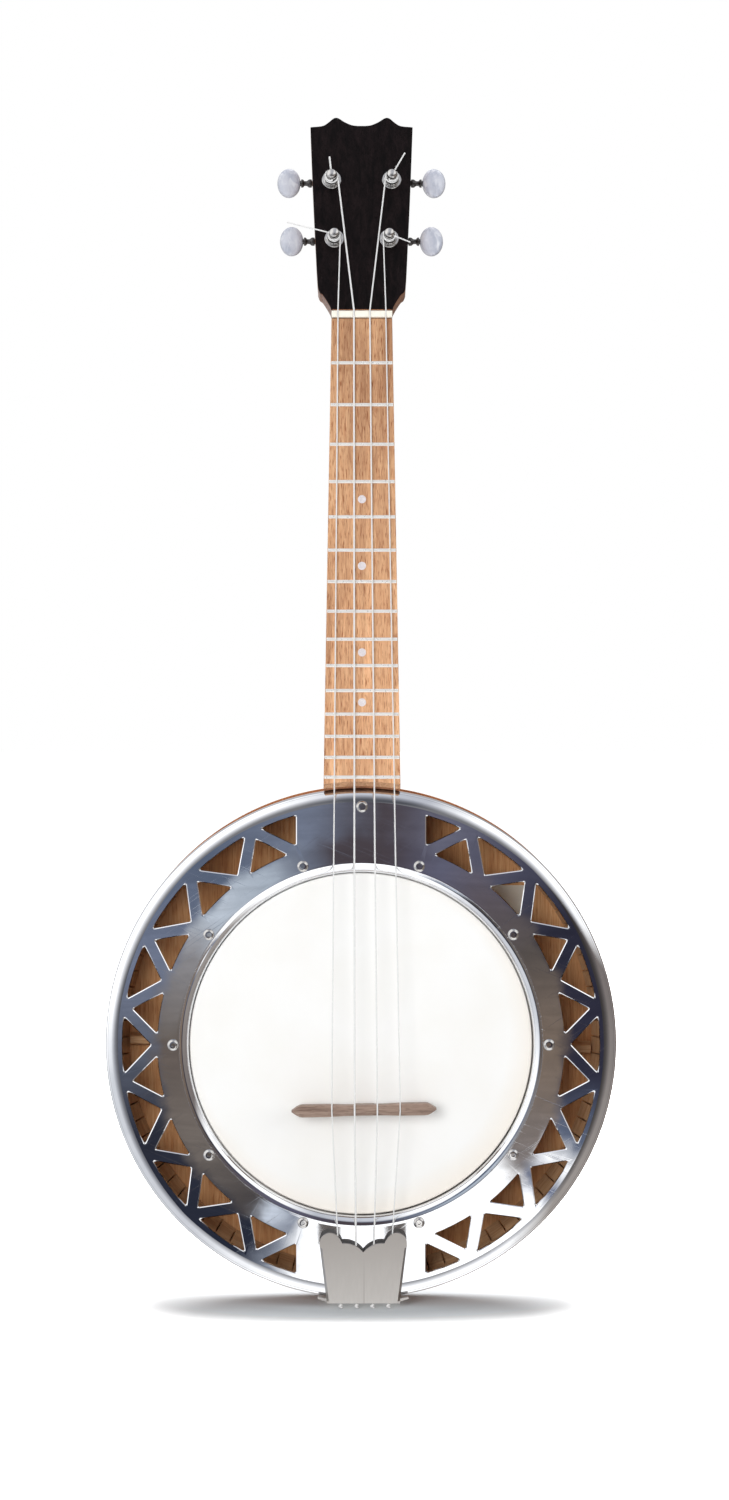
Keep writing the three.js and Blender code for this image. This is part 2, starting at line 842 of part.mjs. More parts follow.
function neck() {
  const heelStart = -fretboardLong + heelLong;
  const heel = heelShares.map(([along, depth]) => {
    return neckSection(-fretboardLong + along * heelLong, (heelTall - neckThickLow) * depth);
  }).reverse();
  const shaft = neckStationShares.map((share) => neckSection(heelStart * share, 0));
  const rings = [
    neckSection(-fretboardLong - 2 * overrun, heelTall - neckThickLow), ...heel, ...shaft,
    neckSection(nutThick + 2 * seat, 0),
  ];
  const head = slab(headOutline(0), 0, headThick);
  const drilled = cut(head, sleeveHoles()).applyMatrix4(headFrame);
  return cut(
    joined(loft(rings), drilled),
    bodyCutter(plateRadius + seat, -overrun * 2, plateSkirt + seat),
    bodyCutter(sideOuter + seat, 0, bodyDepth * 2),
    bodyCutter(sideOuter + backOverhang + seat, bodyDepth - seat, bodyDepth * 2),
  );
}

function fretPlace(number) {
  return -scaleLength * (1 - 2 ** (-number / 12));
}

function fretboard() {
  const long = fretboardLong + 2 * overrun;
  const spread = (fretboardEndWide - nutWide) / fretboardLong;
  const ends = [nutWide / 2, (fretboardEndWide + spread * 2 * overrun) / 2];
  const outline = polygon([[-ends[0], 0], [ends[0], 0], [ends[1], -long], [-ends[1], -long]]);
  const slope = fretboardBevel / fretboardThick;
  const face = -fretboardRise;
  const bowl = turned([
    [0, face - overrun], [fretboardEnd + fretboardBevel + overrun * slope, face - overrun],
    [fretboardEnd - overrun * slope, face + fretboardThick + overrun], [0, face + fretboardThick + overrun],
  ], ringSteps).applyMatrix4(neckFrame.clone().invert());
  const frets = [];
  for (let i = 1; i <= fretCount; i += 1) {
    const z = fretPlace(i);
    const half = neckHalf(z) - seat;
    const crown = [
      [seat, z - fretWide / 2], [-fretTall / 2, z - fretWide / 2], [-fretTall, z - fretWide / 4],
      [-fretTall, z + fretWide / 4], [-fretTall / 2, z + fretWide / 2], [seat, z + fretWide / 2],
    ];
    frets.push(bladed(crown, -half, half));
  }
  return joined(cut(slab(outline, 0, fretboardThick), bowl), mergeGeometries(frets));
}

const nutXs = stringNames.map((name, i) => (i - middleString) * nutSpacing);

function nut() {
  const front = -nutTall;
  const round = nutThick / 4;
  const bar = bladed([
    [front + round, seat], [front, seat + round], [front, seat + nutThick - round],
    [front + round, seat + nutThick], [fretboardThick, seat + nutThick], [fretboardThick, seat],
  ], -nutWide / 2, nutWide / 2);
  const slots = nutXs.map((x, i) => {
    const half = stringDiameters[i] / 2 + seat;
    return block(x - half, x + half, front - overrun, front + nutSlot, -overrun, nutThick + overrun);
  });
  return cut(bar, mergeGeometries(slots));
}

place(neckGroup, 'neck', neck(), finishes.neckWood);
place(neckGroup, 'fretboard', fretboard(), finishes.fretboardWood);
place(neckGroup, 'nut', nut(), finishes.bone);
const overlay = cut(slab(headOutline(seat), -overlayFace, -seat), sleeveHoles());
place(headGroup, 'headstock_overlay', overlay, finishes.ebony);

// Bridge: a roofed bar on three feet that stands on the skin
function bridge() {
  const half = bridgeLong / 2;
  const tip = half * (1 - bridgeTipShare * 2);
  const waist = half * bridgeWaistShare;
  const deep = bridgeDeep / 2;
  const narrow = bridgeWaist / 2;
  const flare = waist * 2;
  const top = -bridgeTop;
  const roofBase = top + bridgeRoof;
  const low = roofBase + bridgeBar;
  const foot = filmDepth - seat;
  const section = (x, reach) => [
    new THREE.Vector3(x, low, -reach), new THREE.Vector3(x, low, reach),
    new THREE.Vector3(x, roofBase, reach), new THREE.Vector3(x, top, 0),
    new THREE.Vector3(x, roofBase, -reach),
  ];
  const edge = bridgeFoot / 8;
  const bar = loft([
    section(-half, edge), section(-tip, deep), section(-flare, deep), section(-waist, narrow),
    section(waist, narrow), section(flare, deep), section(tip, deep), section(half, edge),
  ]);
  const spread = tip - bridgeFootWide / 2;
  const feet = [-spread, 0, spread].map((x) => block(
    x - bridgeFootWide / 2, x + bridgeFootWide / 2, low - bridgeBar * filletShare, foot,
    -bridgeFoot / 2, bridgeFoot / 2,
  ));
  return joined(bar, ...feet);
}

const bridgeMesh = place(body, 'bridge', bridge(), finishes.bridgeWood);
bridgeMesh.position.set(bridgeShift, 0, bridgeZ);
bridgeMesh.rotation.y = -radians(bridgeTilt);

// Tuners: each is drawn for the left side and mirrored for the right
function plainDirection(degrees) {
  return new THREE.Vector3(Math.cos(radians(degrees)), 0, Math.sin(radians(degrees)));
}

function windingRadius(index) {
  return postNeck + seat + stringDiameters[index] / 2;
}

function nutExit(tuner, index) {
  const point = new THREE.Vector3(nutXs[index], nutStringDepths[index], nutThick + seat);
  point.applyMatrix4(headFrame.clone().invert());
  return new THREE.Vector3(point.x * tuner.side + tuner.x, point.y, point.z - tuner.rise);
}

// Where the straight string meets the winding, on the post's inner side
function tangentAngle(tuner, index) {
  const from = nutExit(tuner, index);
  const reach = Math.hypot(from.x, from.z);
  const towards = Math.atan2(from.z, from.x);
  return THREE.MathUtils.radToDeg(towards + Math.acos(windingRadius(index) / reach));
}

function heightPoint(radius, degrees, height) {
  return plainDirection(degrees).multiplyScalar(radius).setY(-overlayFace - height);
}

// The string's end stands out of the post, crosses it, turns down and runs round it
function windingRoute(tuner, index) {
  const radius = windingRadius(index);
  const tail = stringTailAngles[index];
  const exit = tail + halfTurn;
  const end = tangentAngle(tuner, index);
  let sweep = ((exit - end) % fullTurn + fullTurn) % fullTurn;
  while (sweep < fullTurn * windingTurns) {
    sweep += fullTurn;
  }
  const points = [
    heightPoint(stringTails[index] + postNeck, tail, stringHole),
    heightPoint(postNeck, tail, stringHole),
    heightPoint(radius - elbowRadius, exit, stringHole),
  ];
  const outward = plainDirection(exit);
  const sideways = plainDirection(exit - halfTurn / 2);
  for (let i = 1; i < elbowSteps; i += 1) {
    const turn = Math.PI / 2 * i / elbowSteps;
    const point = outward.clone().multiplyScalar(radius - elbowRadius + elbowRadius * Math.sin(turn));
    point.addScaledVector(sideways, elbowRadius * (1 - Math.cos(turn)));
    points.push(point.setY(-overlayFace - stringHole));
  }
  const firstAngle = THREE.MathUtils.radToDeg(Math.atan2(elbowRadius, radius));
  const steps = Math.ceil((sweep - firstAngle) * loopSteps / fullTurn);
  const laterDrop = stringHole - windingEnd - firstDrop;
  for (let i = 0; i <= steps; i += 1) {
    const turn = firstAngle + (sweep - firstAngle) * i / steps;
    const later = Math.max(turn - halfTurn, 0) / (sweep - halfTurn);
    const drop = firstDrop * Math.min(turn, halfTurn) / halfTurn + laterDrop * later;
    points.push(heightPoint(radius, exit - turn, stringHole - drop));
  }
  return points;
}

// The least gap between stretches of one winding that lie further apart along it than a half turn
function leastGap(points, diameter) {
  const fine = [];
  const along = [0];
  for (let i = 0; i + 1 < points.length; i += 1) {
    const count = Math.ceil(points[i].distanceTo(points[i + 1]) / diameter * 4);
    for (let j = 0; j < count; j += 1) {
      fine.push(points[i].clone().lerp(points[i + 1], j / count));
    }
  }
  for (let i = 1; i < fine.length; i += 1) {
    along.push(along[i - 1] + fine[i].distanceTo(fine[i - 1]));
  }
  const apart = Math.PI * postNeck;
  let least = Infinity;
  for (let i = 0; i < fine.length; i += 1) {
    for (let j = i + 1; j < fine.length; j += 1) {
      if (along[j] - along[i] > apart) {
        least = Math.min(least, fine[i].distanceTo(fine[j]) - diameter);
      }
    }
  }
  return least;
}

function post(index) {
  const face = -overlayFace;
  const plateBack = headThick + seat + plateBackThick;
  const shoulder = face - seat - bushingTall;
  const neckEnd = face - stringHole - stringHoleMargin;
  const postEnd = gearFront + gearThick + seat * 2;
  const whole = turned([
    [0, postEnd], [gearSeat, postEnd], [gearSeat, plateBack + seat],
    [postRadius, plateBack + seat], [postRadius, shoulder], [postNeck, shoulder - seat],
    [postNeck, neckEnd], [postCap, neckEnd - postCap + postNeck],
    [postCap * postCrownShare, face - postTall + postCrown], [0, face - postTall],
  ], tunerSides);
  const tail = stringTailAngles[index];
  const ends = [tail, tail + halfTurn].map((degrees) => heightPoint(overrun, degrees, stringHole));
  return cut(whole, wire(ends, stringDiameters[index] / 2 + wireSlack, wireSides));
}

function bushing() {
  const back = -overlayFace - seat;
  const front = back - bushingTall;
  const bore = postRadius + turnSlack;
  return turned([
    [bore, front], [bushingSleeve, front], [bushingFlange, front + bushingTall * 2 / 3],
    [bushingFlange, back], [bushingSleeve, back], [bushingSleeve, back + bushingLong],
    [bore, back + bushingLong],
  ], tunerSides);
}

// The gear's teeth slant by the worm's lead angle
function gear() {
  const outline = [];
  const tips = gearPitchRadius + toothHeight;
  const roots = gearPitchRadius - toothRoot;
  for (let i = 0; i < gearTeeth; i += 1) {
    const middle = halfTurn / 2 + fullTurn * (i + 0.5) / gearTeeth;
    const [wide, narrow] = toothWidthShares.map((share) => share * halfTurn / gearTeeth);
    outline.push(polar(roots, middle - wide), polar(tips, middle - narrow));
    outline.push(polar(tips, middle + narrow), polar(roots, middle + wide));
  }
  const shape = polygon(outline);
  const bore = [];
  for (let i = 0; i < tunerSides; i += 1) {
    bore.push(polar(gearSeat + gearSlack, -fullTurn * i / tunerSides));
  }
  shape.holes.push(new THREE.Path(bore.map(([x, z]) => new THREE.Vector2(x, z))));
  const geometry = slab(shape, gearFront, gearFront + gearThick);
  const positions = geometry.attributes.position;
  const point = new THREE.Vector3();
  const axis = new THREE.Vector3(0, 1, 0);
  const twist = lead / (2 * Math.PI * wormPitchRadius * gearPitchRadius);
  for (let i = 0; i < positions.count; i += 1) {
    point.fromBufferAttribute(positions, i);
    point.applyAxisAngle(axis, (point.y - wormPlace) * twist);
    positions.setXYZ(i, point.x, point.y, point.z);
  }
  return geometry;
}

// The worm's thread: columns of points march along the helix, so that its edges stay sharp
function wormThread() {
  const [wide, narrow] = threadWidthShares.map((share) => share * lead / 2);
  const offsets = [-wide, -narrow, narrow, wide];
  const radii = [wormRoot, wormCrest, wormCrest, wormRoot];
  const turns = Math.ceil(wormLong / lead) + 2;
  const length = turns * wormCorners;
  const row = length + wormCorners + 1;
  const start = -lead * (Math.floor(turns / 2) + 1) + lead / 4;
  const places = [];
  for (let i = 0; i < wormSides; i += 1) {
    const angle = 2 * Math.PI * i / wormSides;
    for (let k = 0; k < row; k += 1) {
      const corner = k % wormCorners;
      const x = start + lead * (i / wormSides + Math.floor(k / wormCorners)) + offsets[corner];
      places.push(x, radii[corner] * Math.cos(angle), radii[corner] * Math.sin(angle));
    }
  }
  const at = (i, k) => (i === wormSides ? k + wormCorners : i * row + k);
  const faces = [];
  for (let i = 0; i < wormSides; i += 1) {
    for (let k = 0; k < length; k += 1) {
      faces.push(at(i, k), at(i + 1, k), at(i + 1, k + 1), at(i, k), at(i + 1, k + 1), at(i, k + 1));
    }
  }
  const lowLoop = [];
  const highLoop = [];
  for (let i = 0; i <= wormSides; i += 1) {
    lowLoop.push(at(i, 0));
    highLoop.push(at(i, length));
  }
  for (let k = wormCorners - 1; k >= 0; k -= 1) {
    lowLoop.push(k);
    highLoop.push(length + k);
  }
  const lowEnd = places.length / 3;
  places.push(start - 2 * lead, 0, 0, start + (turns + 3) * lead, 0, 0);
  for (let i = 0; i + 1 < lowLoop.length; i += 1) {
    faces.push(lowEnd, lowLoop[i + 1], lowLoop[i]);
    faces.push(lowEnd + 1, highLoop[i], highLoop[i + 1]);
  }
  const geometry = new THREE.BufferGeometry();
  geometry.setAttribute('position', new THREE.Float32BufferAttribute(places, 3));
  geometry.setIndex(faces);
  return geometry;
}

function alongX(geometry) {
  return geometry.rotateZ(-Math.PI / 2);
}

function wormShaft(tuner) {
  const half = wormLong / 2;
  const chamfer = toothHeight * 2;
  const barrel = alongX(turned([
    [0, -half], [wormRoot, -half], [wormCrest + toothHeight, -half + chamfer],
    [wormCrest + toothHeight, half - chamfer], [wormRoot, half], [0, half],
  ], wormSides));
  const inner = half + wormEarGap + earThick + wormEarGap;
  const buttonEdge = tuner.buttonX - tuner.x - buttonWide / 2;
  const taper = collarLong * collarTaperShare;
  const firstCollar = -buttonEdge + 3 * collarLong + seat;
  const lastCollar = -buttonEdge + collarLong + seat;
  const shaft = alongX(turned([
    [0, inner], [shaftRadius, inner], [shaftRadius, firstCollar], [collarRadius, firstCollar - seat],
    [collarRadius, firstCollar - collarLong], [waistRadius, firstCollar - collarLong - taper],
    [waistRadius, lastCollar], [collarRadius, lastCollar - taper],
    [collarRadius, -buttonEdge + seat], [shaftRadius, -buttonEdge + seat],
    [shaftRadius, -buttonEdge - buttonBore], [0, -buttonEdge - buttonBore],
  ], wormSides));
  const whole = joined(shared(wormThread(), barrel), shaft);
  return whole.translate(0, wormPlace, wormCentre);
}

function button(tuner) {
  const geometry = new THREE.SphereGeometry(1, buttonSteps * 2, buttonSteps);
  geometry.scale(buttonWide / 2, buttonThick / 2, buttonTall / 2);
  geometry.translate(tuner.x - tuner.buttonX, 0, 0);
  const buttonEdge = tuner.buttonX - tuner.x - buttonWide / 2;
  const bore = alongX(rod(shaftRadius + gearSlack, -buttonEdge - buttonBore - seat, 0, wormSides));
  return cut(geometry, bore).translate(0, wormPlace, wormCentre);
}

function tunerPlate() {
  const front = headThick + seat;
  const back = front + plateBackThick;
  const low = wormCentre / 2 - plateBackTall / 2;
  const sheet = block(-plateBackLong / 2, plateBackLong / 2, front, back, low, low + plateBackTall);
  const inner = wormLong / 2 + wormEarGap;
  const ears = [-1, 1].map((side) => {
    const xs = [inner * side, (inner + earThick) * side].sort((a, b) => a - b);
    const half = earTall / 2 - turnSlack;
    const root = back - plateBackThick * filletShare;
    return block(xs[0], xs[1], root, wormPlace + half, wormCentre - half, wormCentre + half);
  });
  const journal = alongX(rod(shaftRadius + turnSlack, -2 * inner, 2 * inner, wormSides));
  journal.translate(0, wormPlace, wormCentre);
  const hole = rod(postRadius + turnSlack, front - overrun, back + overrun, tunerSides);
  return cut(joined(sheet, ...ears), journal, hole);
}

const gaps = [];
tuners.forEach((tuner, index) => {
  const group = new THREE.Group();
  group.position.set(-tuner.side * tuner.x, 0, tuner.rise);
  headGroup.add(group);
  const route = windingRoute(tuner, index);
  gaps.push(leastGap(route, stringDiameters[index]));
  const pieces = [
    ['tuner_plate', tunerPlate(), finishes.blackMetal],
    ['worm_shaft', wormShaft(tuner), finishes.blackMetal],
    ['button', button(tuner), finishes.pearl],
    ['post', post(index), finishes.chrome],
    ['gear', gear(), finishes.brass],
    ['bushing', bushing(), finishes.chrome],
    ['winding', wire(route, stringDiameters[index] / 2, windingSides), finishes.nylon],
  ];
  for (const [name, geometry, material] of pieces) {
    const handed = tuner.side > 0 ? geometry : mirrored(geometry);
    place(group, `${tuner.name}_${name}`, handed, material);
  }
});
console.log(`least gap between a winding's own turns: ${Math.min(...gaps).toFixed(3)} mm`);

// Strings: from the knot behind the tailpiece, under it, over the bridge and the nut, to the post
function stringRoute(index) {
  const tuner = tuners[index];
  const radius = stringDiameters[index] / 2;
  const angle = tangentAngle(tuner, index);
  const touch = heightPoint(windingRadius(index), angle, windingEnd);
  const back = nutExit(tuner, index).sub(touch).normalize();
  const end = touch.addScaledVector(back, seat);
  end.x = (end.x - tuner.x) * tuner.side;
  end.z += tuner.rise;
  const tailX = tailHoleXs[index];
  const bridgeX = bridgeStringShift + (index - middleString) * bridgeSpacing;
  const nutPoints = [seat, nutThick + seat].map((z) => {
    return new THREE.Vector3(nutXs[index], nutStringDepths[index], z).applyMatrix4(neckFrame);
  });
  return [
    new THREE.Vector3(tailX, stringHoleDepth, -wrapOuter - seat - knotLong),
    new THREE.Vector3(tailX, stringHoleDepth, -wrapInner),
    new THREE.Vector3(bridgeX, -bridgeTop - seat - radius, bridgeZ),
    ...nutPoints,
    end.applyMatrix4(headInBody),
  ];
}

stringNames.forEach((name, index) => {
  const route = stringRoute(index);
  const knotFace = route[0].clone().setZ(-wrapOuter - seat);
  const knot = wire([route[0].clone().setZ(knotFace.z - knotLong), knotFace], knotRadius, wireSides);
  place(body, name, joined(wire(route, stringDiameters[index] / 2, wireSides), knot), finishes.nylon);
});

export default instrument;
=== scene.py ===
# %% [markdown]
# This lesson dresses a tenor banjo ukulele: a white skin sunk into a round wooden body, a pierced and
# polished cover plate over it, a slim neck with fifteen frets, and four geared tuners behind a dark
# headstock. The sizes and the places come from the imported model, so the first step loads it as a fixed
# frame. Every new piece is drawn in millimetres and then set into its place by one of the frames below.

# %% Load the frame
import json
import math
import bpy
from mathutils import Matrix, Vector

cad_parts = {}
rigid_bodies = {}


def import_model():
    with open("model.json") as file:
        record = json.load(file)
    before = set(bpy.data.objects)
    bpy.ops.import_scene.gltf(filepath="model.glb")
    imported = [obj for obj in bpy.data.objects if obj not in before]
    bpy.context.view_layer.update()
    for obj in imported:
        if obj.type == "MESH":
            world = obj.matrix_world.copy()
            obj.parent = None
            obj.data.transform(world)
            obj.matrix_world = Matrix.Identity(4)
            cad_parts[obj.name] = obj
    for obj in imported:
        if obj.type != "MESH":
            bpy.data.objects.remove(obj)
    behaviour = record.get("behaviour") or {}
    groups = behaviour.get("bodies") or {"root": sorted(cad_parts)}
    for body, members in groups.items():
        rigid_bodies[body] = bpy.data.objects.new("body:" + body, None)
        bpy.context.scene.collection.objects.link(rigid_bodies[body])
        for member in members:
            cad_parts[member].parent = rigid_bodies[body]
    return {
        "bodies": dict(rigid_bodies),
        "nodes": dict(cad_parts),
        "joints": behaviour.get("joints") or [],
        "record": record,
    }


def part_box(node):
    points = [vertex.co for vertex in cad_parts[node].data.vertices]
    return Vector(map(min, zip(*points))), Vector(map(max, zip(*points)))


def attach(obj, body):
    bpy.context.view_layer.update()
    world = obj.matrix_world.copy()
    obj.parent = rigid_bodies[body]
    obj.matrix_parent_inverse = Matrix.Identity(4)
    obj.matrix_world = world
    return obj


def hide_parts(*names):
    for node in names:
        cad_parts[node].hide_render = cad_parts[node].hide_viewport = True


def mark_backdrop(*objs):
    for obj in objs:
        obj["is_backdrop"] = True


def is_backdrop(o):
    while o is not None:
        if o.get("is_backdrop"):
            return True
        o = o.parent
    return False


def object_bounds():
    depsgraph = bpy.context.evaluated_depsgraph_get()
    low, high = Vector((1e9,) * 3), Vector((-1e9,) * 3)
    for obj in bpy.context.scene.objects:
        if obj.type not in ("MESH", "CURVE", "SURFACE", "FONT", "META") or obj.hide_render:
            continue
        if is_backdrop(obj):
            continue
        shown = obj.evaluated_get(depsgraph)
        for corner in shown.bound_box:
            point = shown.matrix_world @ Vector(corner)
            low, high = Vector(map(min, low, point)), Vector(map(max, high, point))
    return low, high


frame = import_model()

MM = 0.001
cad_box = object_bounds()
print("CAD box in mm:", [[round(v / MM, 1) for v in corner] for corner in cad_box])

# %% [markdown]
# The instrument is built on three frames. The body's frame has its origin in the middle of the plate's
# front face. The neck leans back a little, and the headstock leans back further. Each frame is a matrix
# that takes millimetres to the scene's metres. The neck's origin is found from the nut, whose corners
# are known in both frames, so nothing has to be measured twice.

# %% Frames of the body, the neck and the headstock
NECK_LEAN = math.radians(2.4)
HEAD_TILT = math.radians(14)
SEAT = 0.3
FRETBOARD_THICK = 5
NUT_THICK = 4

plate_low, plate_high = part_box("cover_plate")
PLATE_RADIUS = (plate_high.x - plate_low.x) / 2 / MM
body_place = Vector(((plate_low.x + plate_high.x) / 2, plate_low.y, (plate_low.z + plate_high.z) / 2))
BODY = Matrix.Translation(body_place) @ Matrix.Scale(MM, 4)

nut_low, nut_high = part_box("nut")
lean_sin, lean_cos = math.sin(NECK_LEAN), math.cos(NECK_LEAN)
nut_back = NUT_THICK + SEAT
neck_place = Vector((
    (nut_low.x + nut_high.x) / 2,
    nut_high.y - (FRETBOARD_THICK * lean_cos + nut_back * lean_sin) * MM,
    nut_low.z + (FRETBOARD_THICK * lean_sin - SEAT * lean_cos) * MM,
))
NECK = Matrix.Translation(neck_place) @ Matrix.Rotation(-NECK_LEAN, 4, "X") @ Matrix.Scale(MM, 4)
HEAD_IN_NECK = Matrix.Translation((0, FRETBOARD_THICK + SEAT, NUT_THICK + 2 * SEAT))
HEAD_IN_NECK = HEAD_IN_NECK @ Matrix.Rotation(-HEAD_TILT, 4, "X")
HEAD = NECK @ HEAD_IN_NECK
print("plate radius", round(PLATE_RADIUS, 2), "neck origin", [round(v / MM, 2) for v in neck_place])

# %% [markdown]
# The camera comes first, because it decides what the picture shows. It stands two metres in front of the
# plate, a little above the middle of the body, and looks down by two degrees, almost square to the
# fretboard. Its lens is worked out from the photograph's scale, which is taken to be 729 by 1500 pixels.

# %% Camera
PICTURE_TALL = 1500
LENS_PIXELS = 3654.6
LENS_PLACE = Vector((-10.6, -1986.8, 235.2))
TURNED = math.radians(-0.36)
LOOKS_DOWN = math.radians(2.14)
SENSOR = 36
NEAR_CLIP = 0.05

camera_data = bpy.data.cameras.new("camera")
camera = bpy.data.objects.new("camera", camera_data)
bpy.context.scene.collection.objects.link(camera)
bpy.context.scene.camera = camera
camera_data.sensor_width = SENSOR
camera_data.lens = SENSOR * LENS_PIXELS / PICTURE_TALL
camera_data.clip_start = NEAR_CLIP
camera.location = BODY @ LENS_PLACE
camera.rotation_euler = (math.pi / 2 - LOOKS_DOWN, 0, TURNED)
print("lens", round(camera_data.lens, 2), "camera at", [round(v, 3) for v in camera.location])

# %% [markdown]
# A few helpers stand for the moves that a modeller makes by hand. A line is drawn by adding one vertex
# and extruding it from point to point. A turned piece is such a line spun about an axis, as on a lathe.
# A slab or a bar is a filled outline that is pushed out to its thickness.

# %% Drawing helpers
MERGE = 0.002
FULL_TURN = 2 * math.pi
ORIGIN = (0, 0, 0)


def pick(*objects):
    """Selects these objects alone; the first one becomes the active one."""
    bpy.ops.object.select_all(action="DESELECT")
    for obj in objects:
        obj.select_set(True)
    bpy.context.view_layer.objects.active = objects[0]


def edit(obj):
    pick(obj)
    bpy.ops.object.mode_set(mode="EDIT")
    bpy.ops.mesh.select_all(action="SELECT")


def leave():
    bpy.ops.object.mode_set(mode="OBJECT")


def push(move):
    bpy.ops.mesh.extrude_region_move(TRANSFORM_OT_translate={"value": move})


def resize(factors, about=ORIGIN):
    bpy.ops.transform.resize(value=factors, center_override=about)


def spin(steps, angle, copies=False):
    """Carries the selection about the y axis, as a surface or as separate copies."""
    bpy.ops.mesh.spin(steps=steps, dupli=copies, angle=angle, center=ORIGIN, axis=(0, 1, 0))


def draw(name, points, fill=True):
    """A line of vertices, extruded from point to point, and filled with one face."""
    bpy.ops.object.select_all(action="DESELECT")
    bpy.ops.mesh.primitive_plane_add(size=1)
    obj = bpy.context.object
    obj.name = obj.data.name = name
    edit(obj)
    bpy.ops.mesh.merge(type="CENTER")
    bpy.ops.transform.translate(value=points[0])
    for last, point in zip(points, points[1:]):
        step = Vector(point) - Vector(last)
        bpy.ops.mesh.extrude_vertices_move(TRANSFORM_OT_translate={"value": step})
    if fill:
        bpy.ops.mesh.select_all(action="SELECT")
        bpy.ops.mesh.edge_face_add()
    leave()
    return obj


def tidy(obj):
    """Merges doubled vertices and turns all faces outwards."""
    edit(obj)
    bpy.ops.mesh.remove_doubles(threshold=MERGE)
    bpy.ops.mesh.normals_make_consistent(inside=False)
    leave()
    return obj


def turned(name, profile, steps):
    """A profile of radius and depth spun about the y axis. A ring's profile is closed first."""
    points = [(radius, depth, 0) for radius, depth in profile]
    if profile[0][0] > 0:
        points.append(points[0])
    obj = draw(name, points, fill=False)
    edit(obj)
    spin(steps, FULL_TURN)
    leave()
    return tidy(obj)


def pushed(name, points, move):
    """A filled outline, pushed out by one move."""
    obj = draw(name, points)
    edit(obj)
    push(move)
    leave()
    return tidy(obj)


def slab(name, outline, front, back):
    """An outline in x and z, pushed out from front to back."""
    return pushed(name, [(x, front, z) for x, z in outline], (0, back - front, 0))


def bar(name, section, left, right):
    """A section in y and z, pushed out from left to right."""
    return pushed(name, [(left, y, z) for y, z in section], (right - left, 0, 0))


def rod(name, radius, front, back, steps=48):
    return turned(name, [(0, front), (radius, front), (radius, back), (0, back)], steps)


print("drawing helpers are ready")

# %% [markdown]
# Outlines are worked out before they are drawn. Corners are rounded, so that they catch the light, and
# a free form such as a lobe is a smooth curve through a few points that were read off the photograph.

# %% Outline helpers
NEARLY_STRAIGHT = math.radians(165)
CORNER_SHARE = 0.45


def rounded(points, radius, steps=3, closed=True):
    """The same outline with each sharp corner replaced by a short curve."""
    places = [Vector(p) for p in points]
    count = len(places)
    curve = []
    for i, here in enumerate(places):
        before, after = places[i - 1] - here, places[(i + 1) % count] - here
        is_end = not closed and i in (0, count - 1)
        if is_end or before.angle(after) > NEARLY_STRAIGHT:
            curve.append(tuple(here))
            continue
        reach = radius / math.tan(before.angle(after) / 2)
        reach = min(reach, before.length * CORNER_SHARE, after.length * CORNER_SHARE)
        start, end = here + before.normalized() * reach, here + after.normalized() * reach
        for j in range(steps + 1):
            t = j / steps
            curve.append(tuple(start * (1 - t) ** 2 + here * 2 * t * (1 - t) + end * t ** 2))
    return curve


def arc(centre, radius, start, end, steps):
    """Points on an arc, with its angles in degrees."""
    angles = [math.radians(start + (end - start) * i / steps) for i in range(steps + 1)]
    return [(centre[0] + radius * math.cos(a), centre[1] + radius * math.sin(a)) for a in angles]


def quarter(steps):
    """The angles of a quarter turn."""
    return [math.radians(90 * i / steps) for i in range(steps + 1)]


def polar(radius, degrees):
    return (radius * math.cos(math.radians(degrees)), radius * math.sin(math.radians(degrees)))


def curved(points, steps=4):
    """A smooth curve through the points."""
    places = [Vector(p) for p in points]
    places = [places[0] * 2 - places[1], *places, places[-1] * 2 - places[-2]]
    curve = []
    for a, b, c, d in zip(places, places[1:], places[2:], places[3:]):
        for j in range(steps):
            t = j / steps
            point = b * 2 + (c - a) * t + (a * 2 - b * 5 + c * 4 - d) * t ** 2
            curve.append(tuple((point + (b * 3 - a - c * 3 + d) * t ** 3) / 2))
    return curve + [tuple(places[-2])]


def both_sides(outline, shared=0):
    """A right half and its mirror image; the last shared points lie on the middle."""
    mirrored = outline[:len(outline) - shared][::-1]
    return outline + [(-x, z) for x, z in mirrored]


print("a rounded square has", len(rounded([(0, 0), (1, 0), (1, 1), (0, 1)], 0.2)), "points")

# %% [markdown]
# The last helpers shape solids: modifiers that are applied at once, exact cuts and joins, bevelled
# edges, tubes along a route, and copies that have a mesh of their own.

# %% Carving helpers
def modify(obj, kind, **settings):
    """Adds a modifier with these settings and applies it."""
    pick(obj)
    modifier = obj.modifiers.new(kind, kind)
    for key, value in settings.items():
        setattr(modifier, key, value)
    bpy.ops.object.modifier_apply(modifier=modifier.name)
    return obj


def carve(obj, cutter, operation="DIFFERENCE"):
    modify(obj, "BOOLEAN", object=cutter, operation=operation, solver="EXACT")
    bpy.data.objects.remove(cutter)
    return obj


def soften(obj, width, segments=2, angle=40):
    return modify(obj, "BEVEL", width=width, segments=segments, limit_method="ANGLE",
                  angle_limit=math.radians(angle), use_clamp_overlap=True)


def put(obj, place):
    """Sets an object into a frame and applies it to the mesh."""
    obj.matrix_world = place
    pick(obj)
    bpy.ops.object.transform_apply(location=True, rotation=True, scale=True)
    if place.determinant() < 0:
        edit(obj)
        bpy.ops.mesh.normals_make_consistent(inside=False)
        leave()
    return obj


def moved(obj, x=0, y=0, z=0):
    return put(obj, Matrix.Translation((x, y, z)))


def joined(name, *objects):
    pick(*objects)
    bpy.ops.object.join()
    objects[0].name = objects[0].data.name = name
    return objects[0]


def copied(obj, name):
    copy = obj.copy()
    copy.data = obj.data.copy()
    copy.name = copy.data.name = name
    bpy.context.scene.collection.objects.link(copy)
    return copy


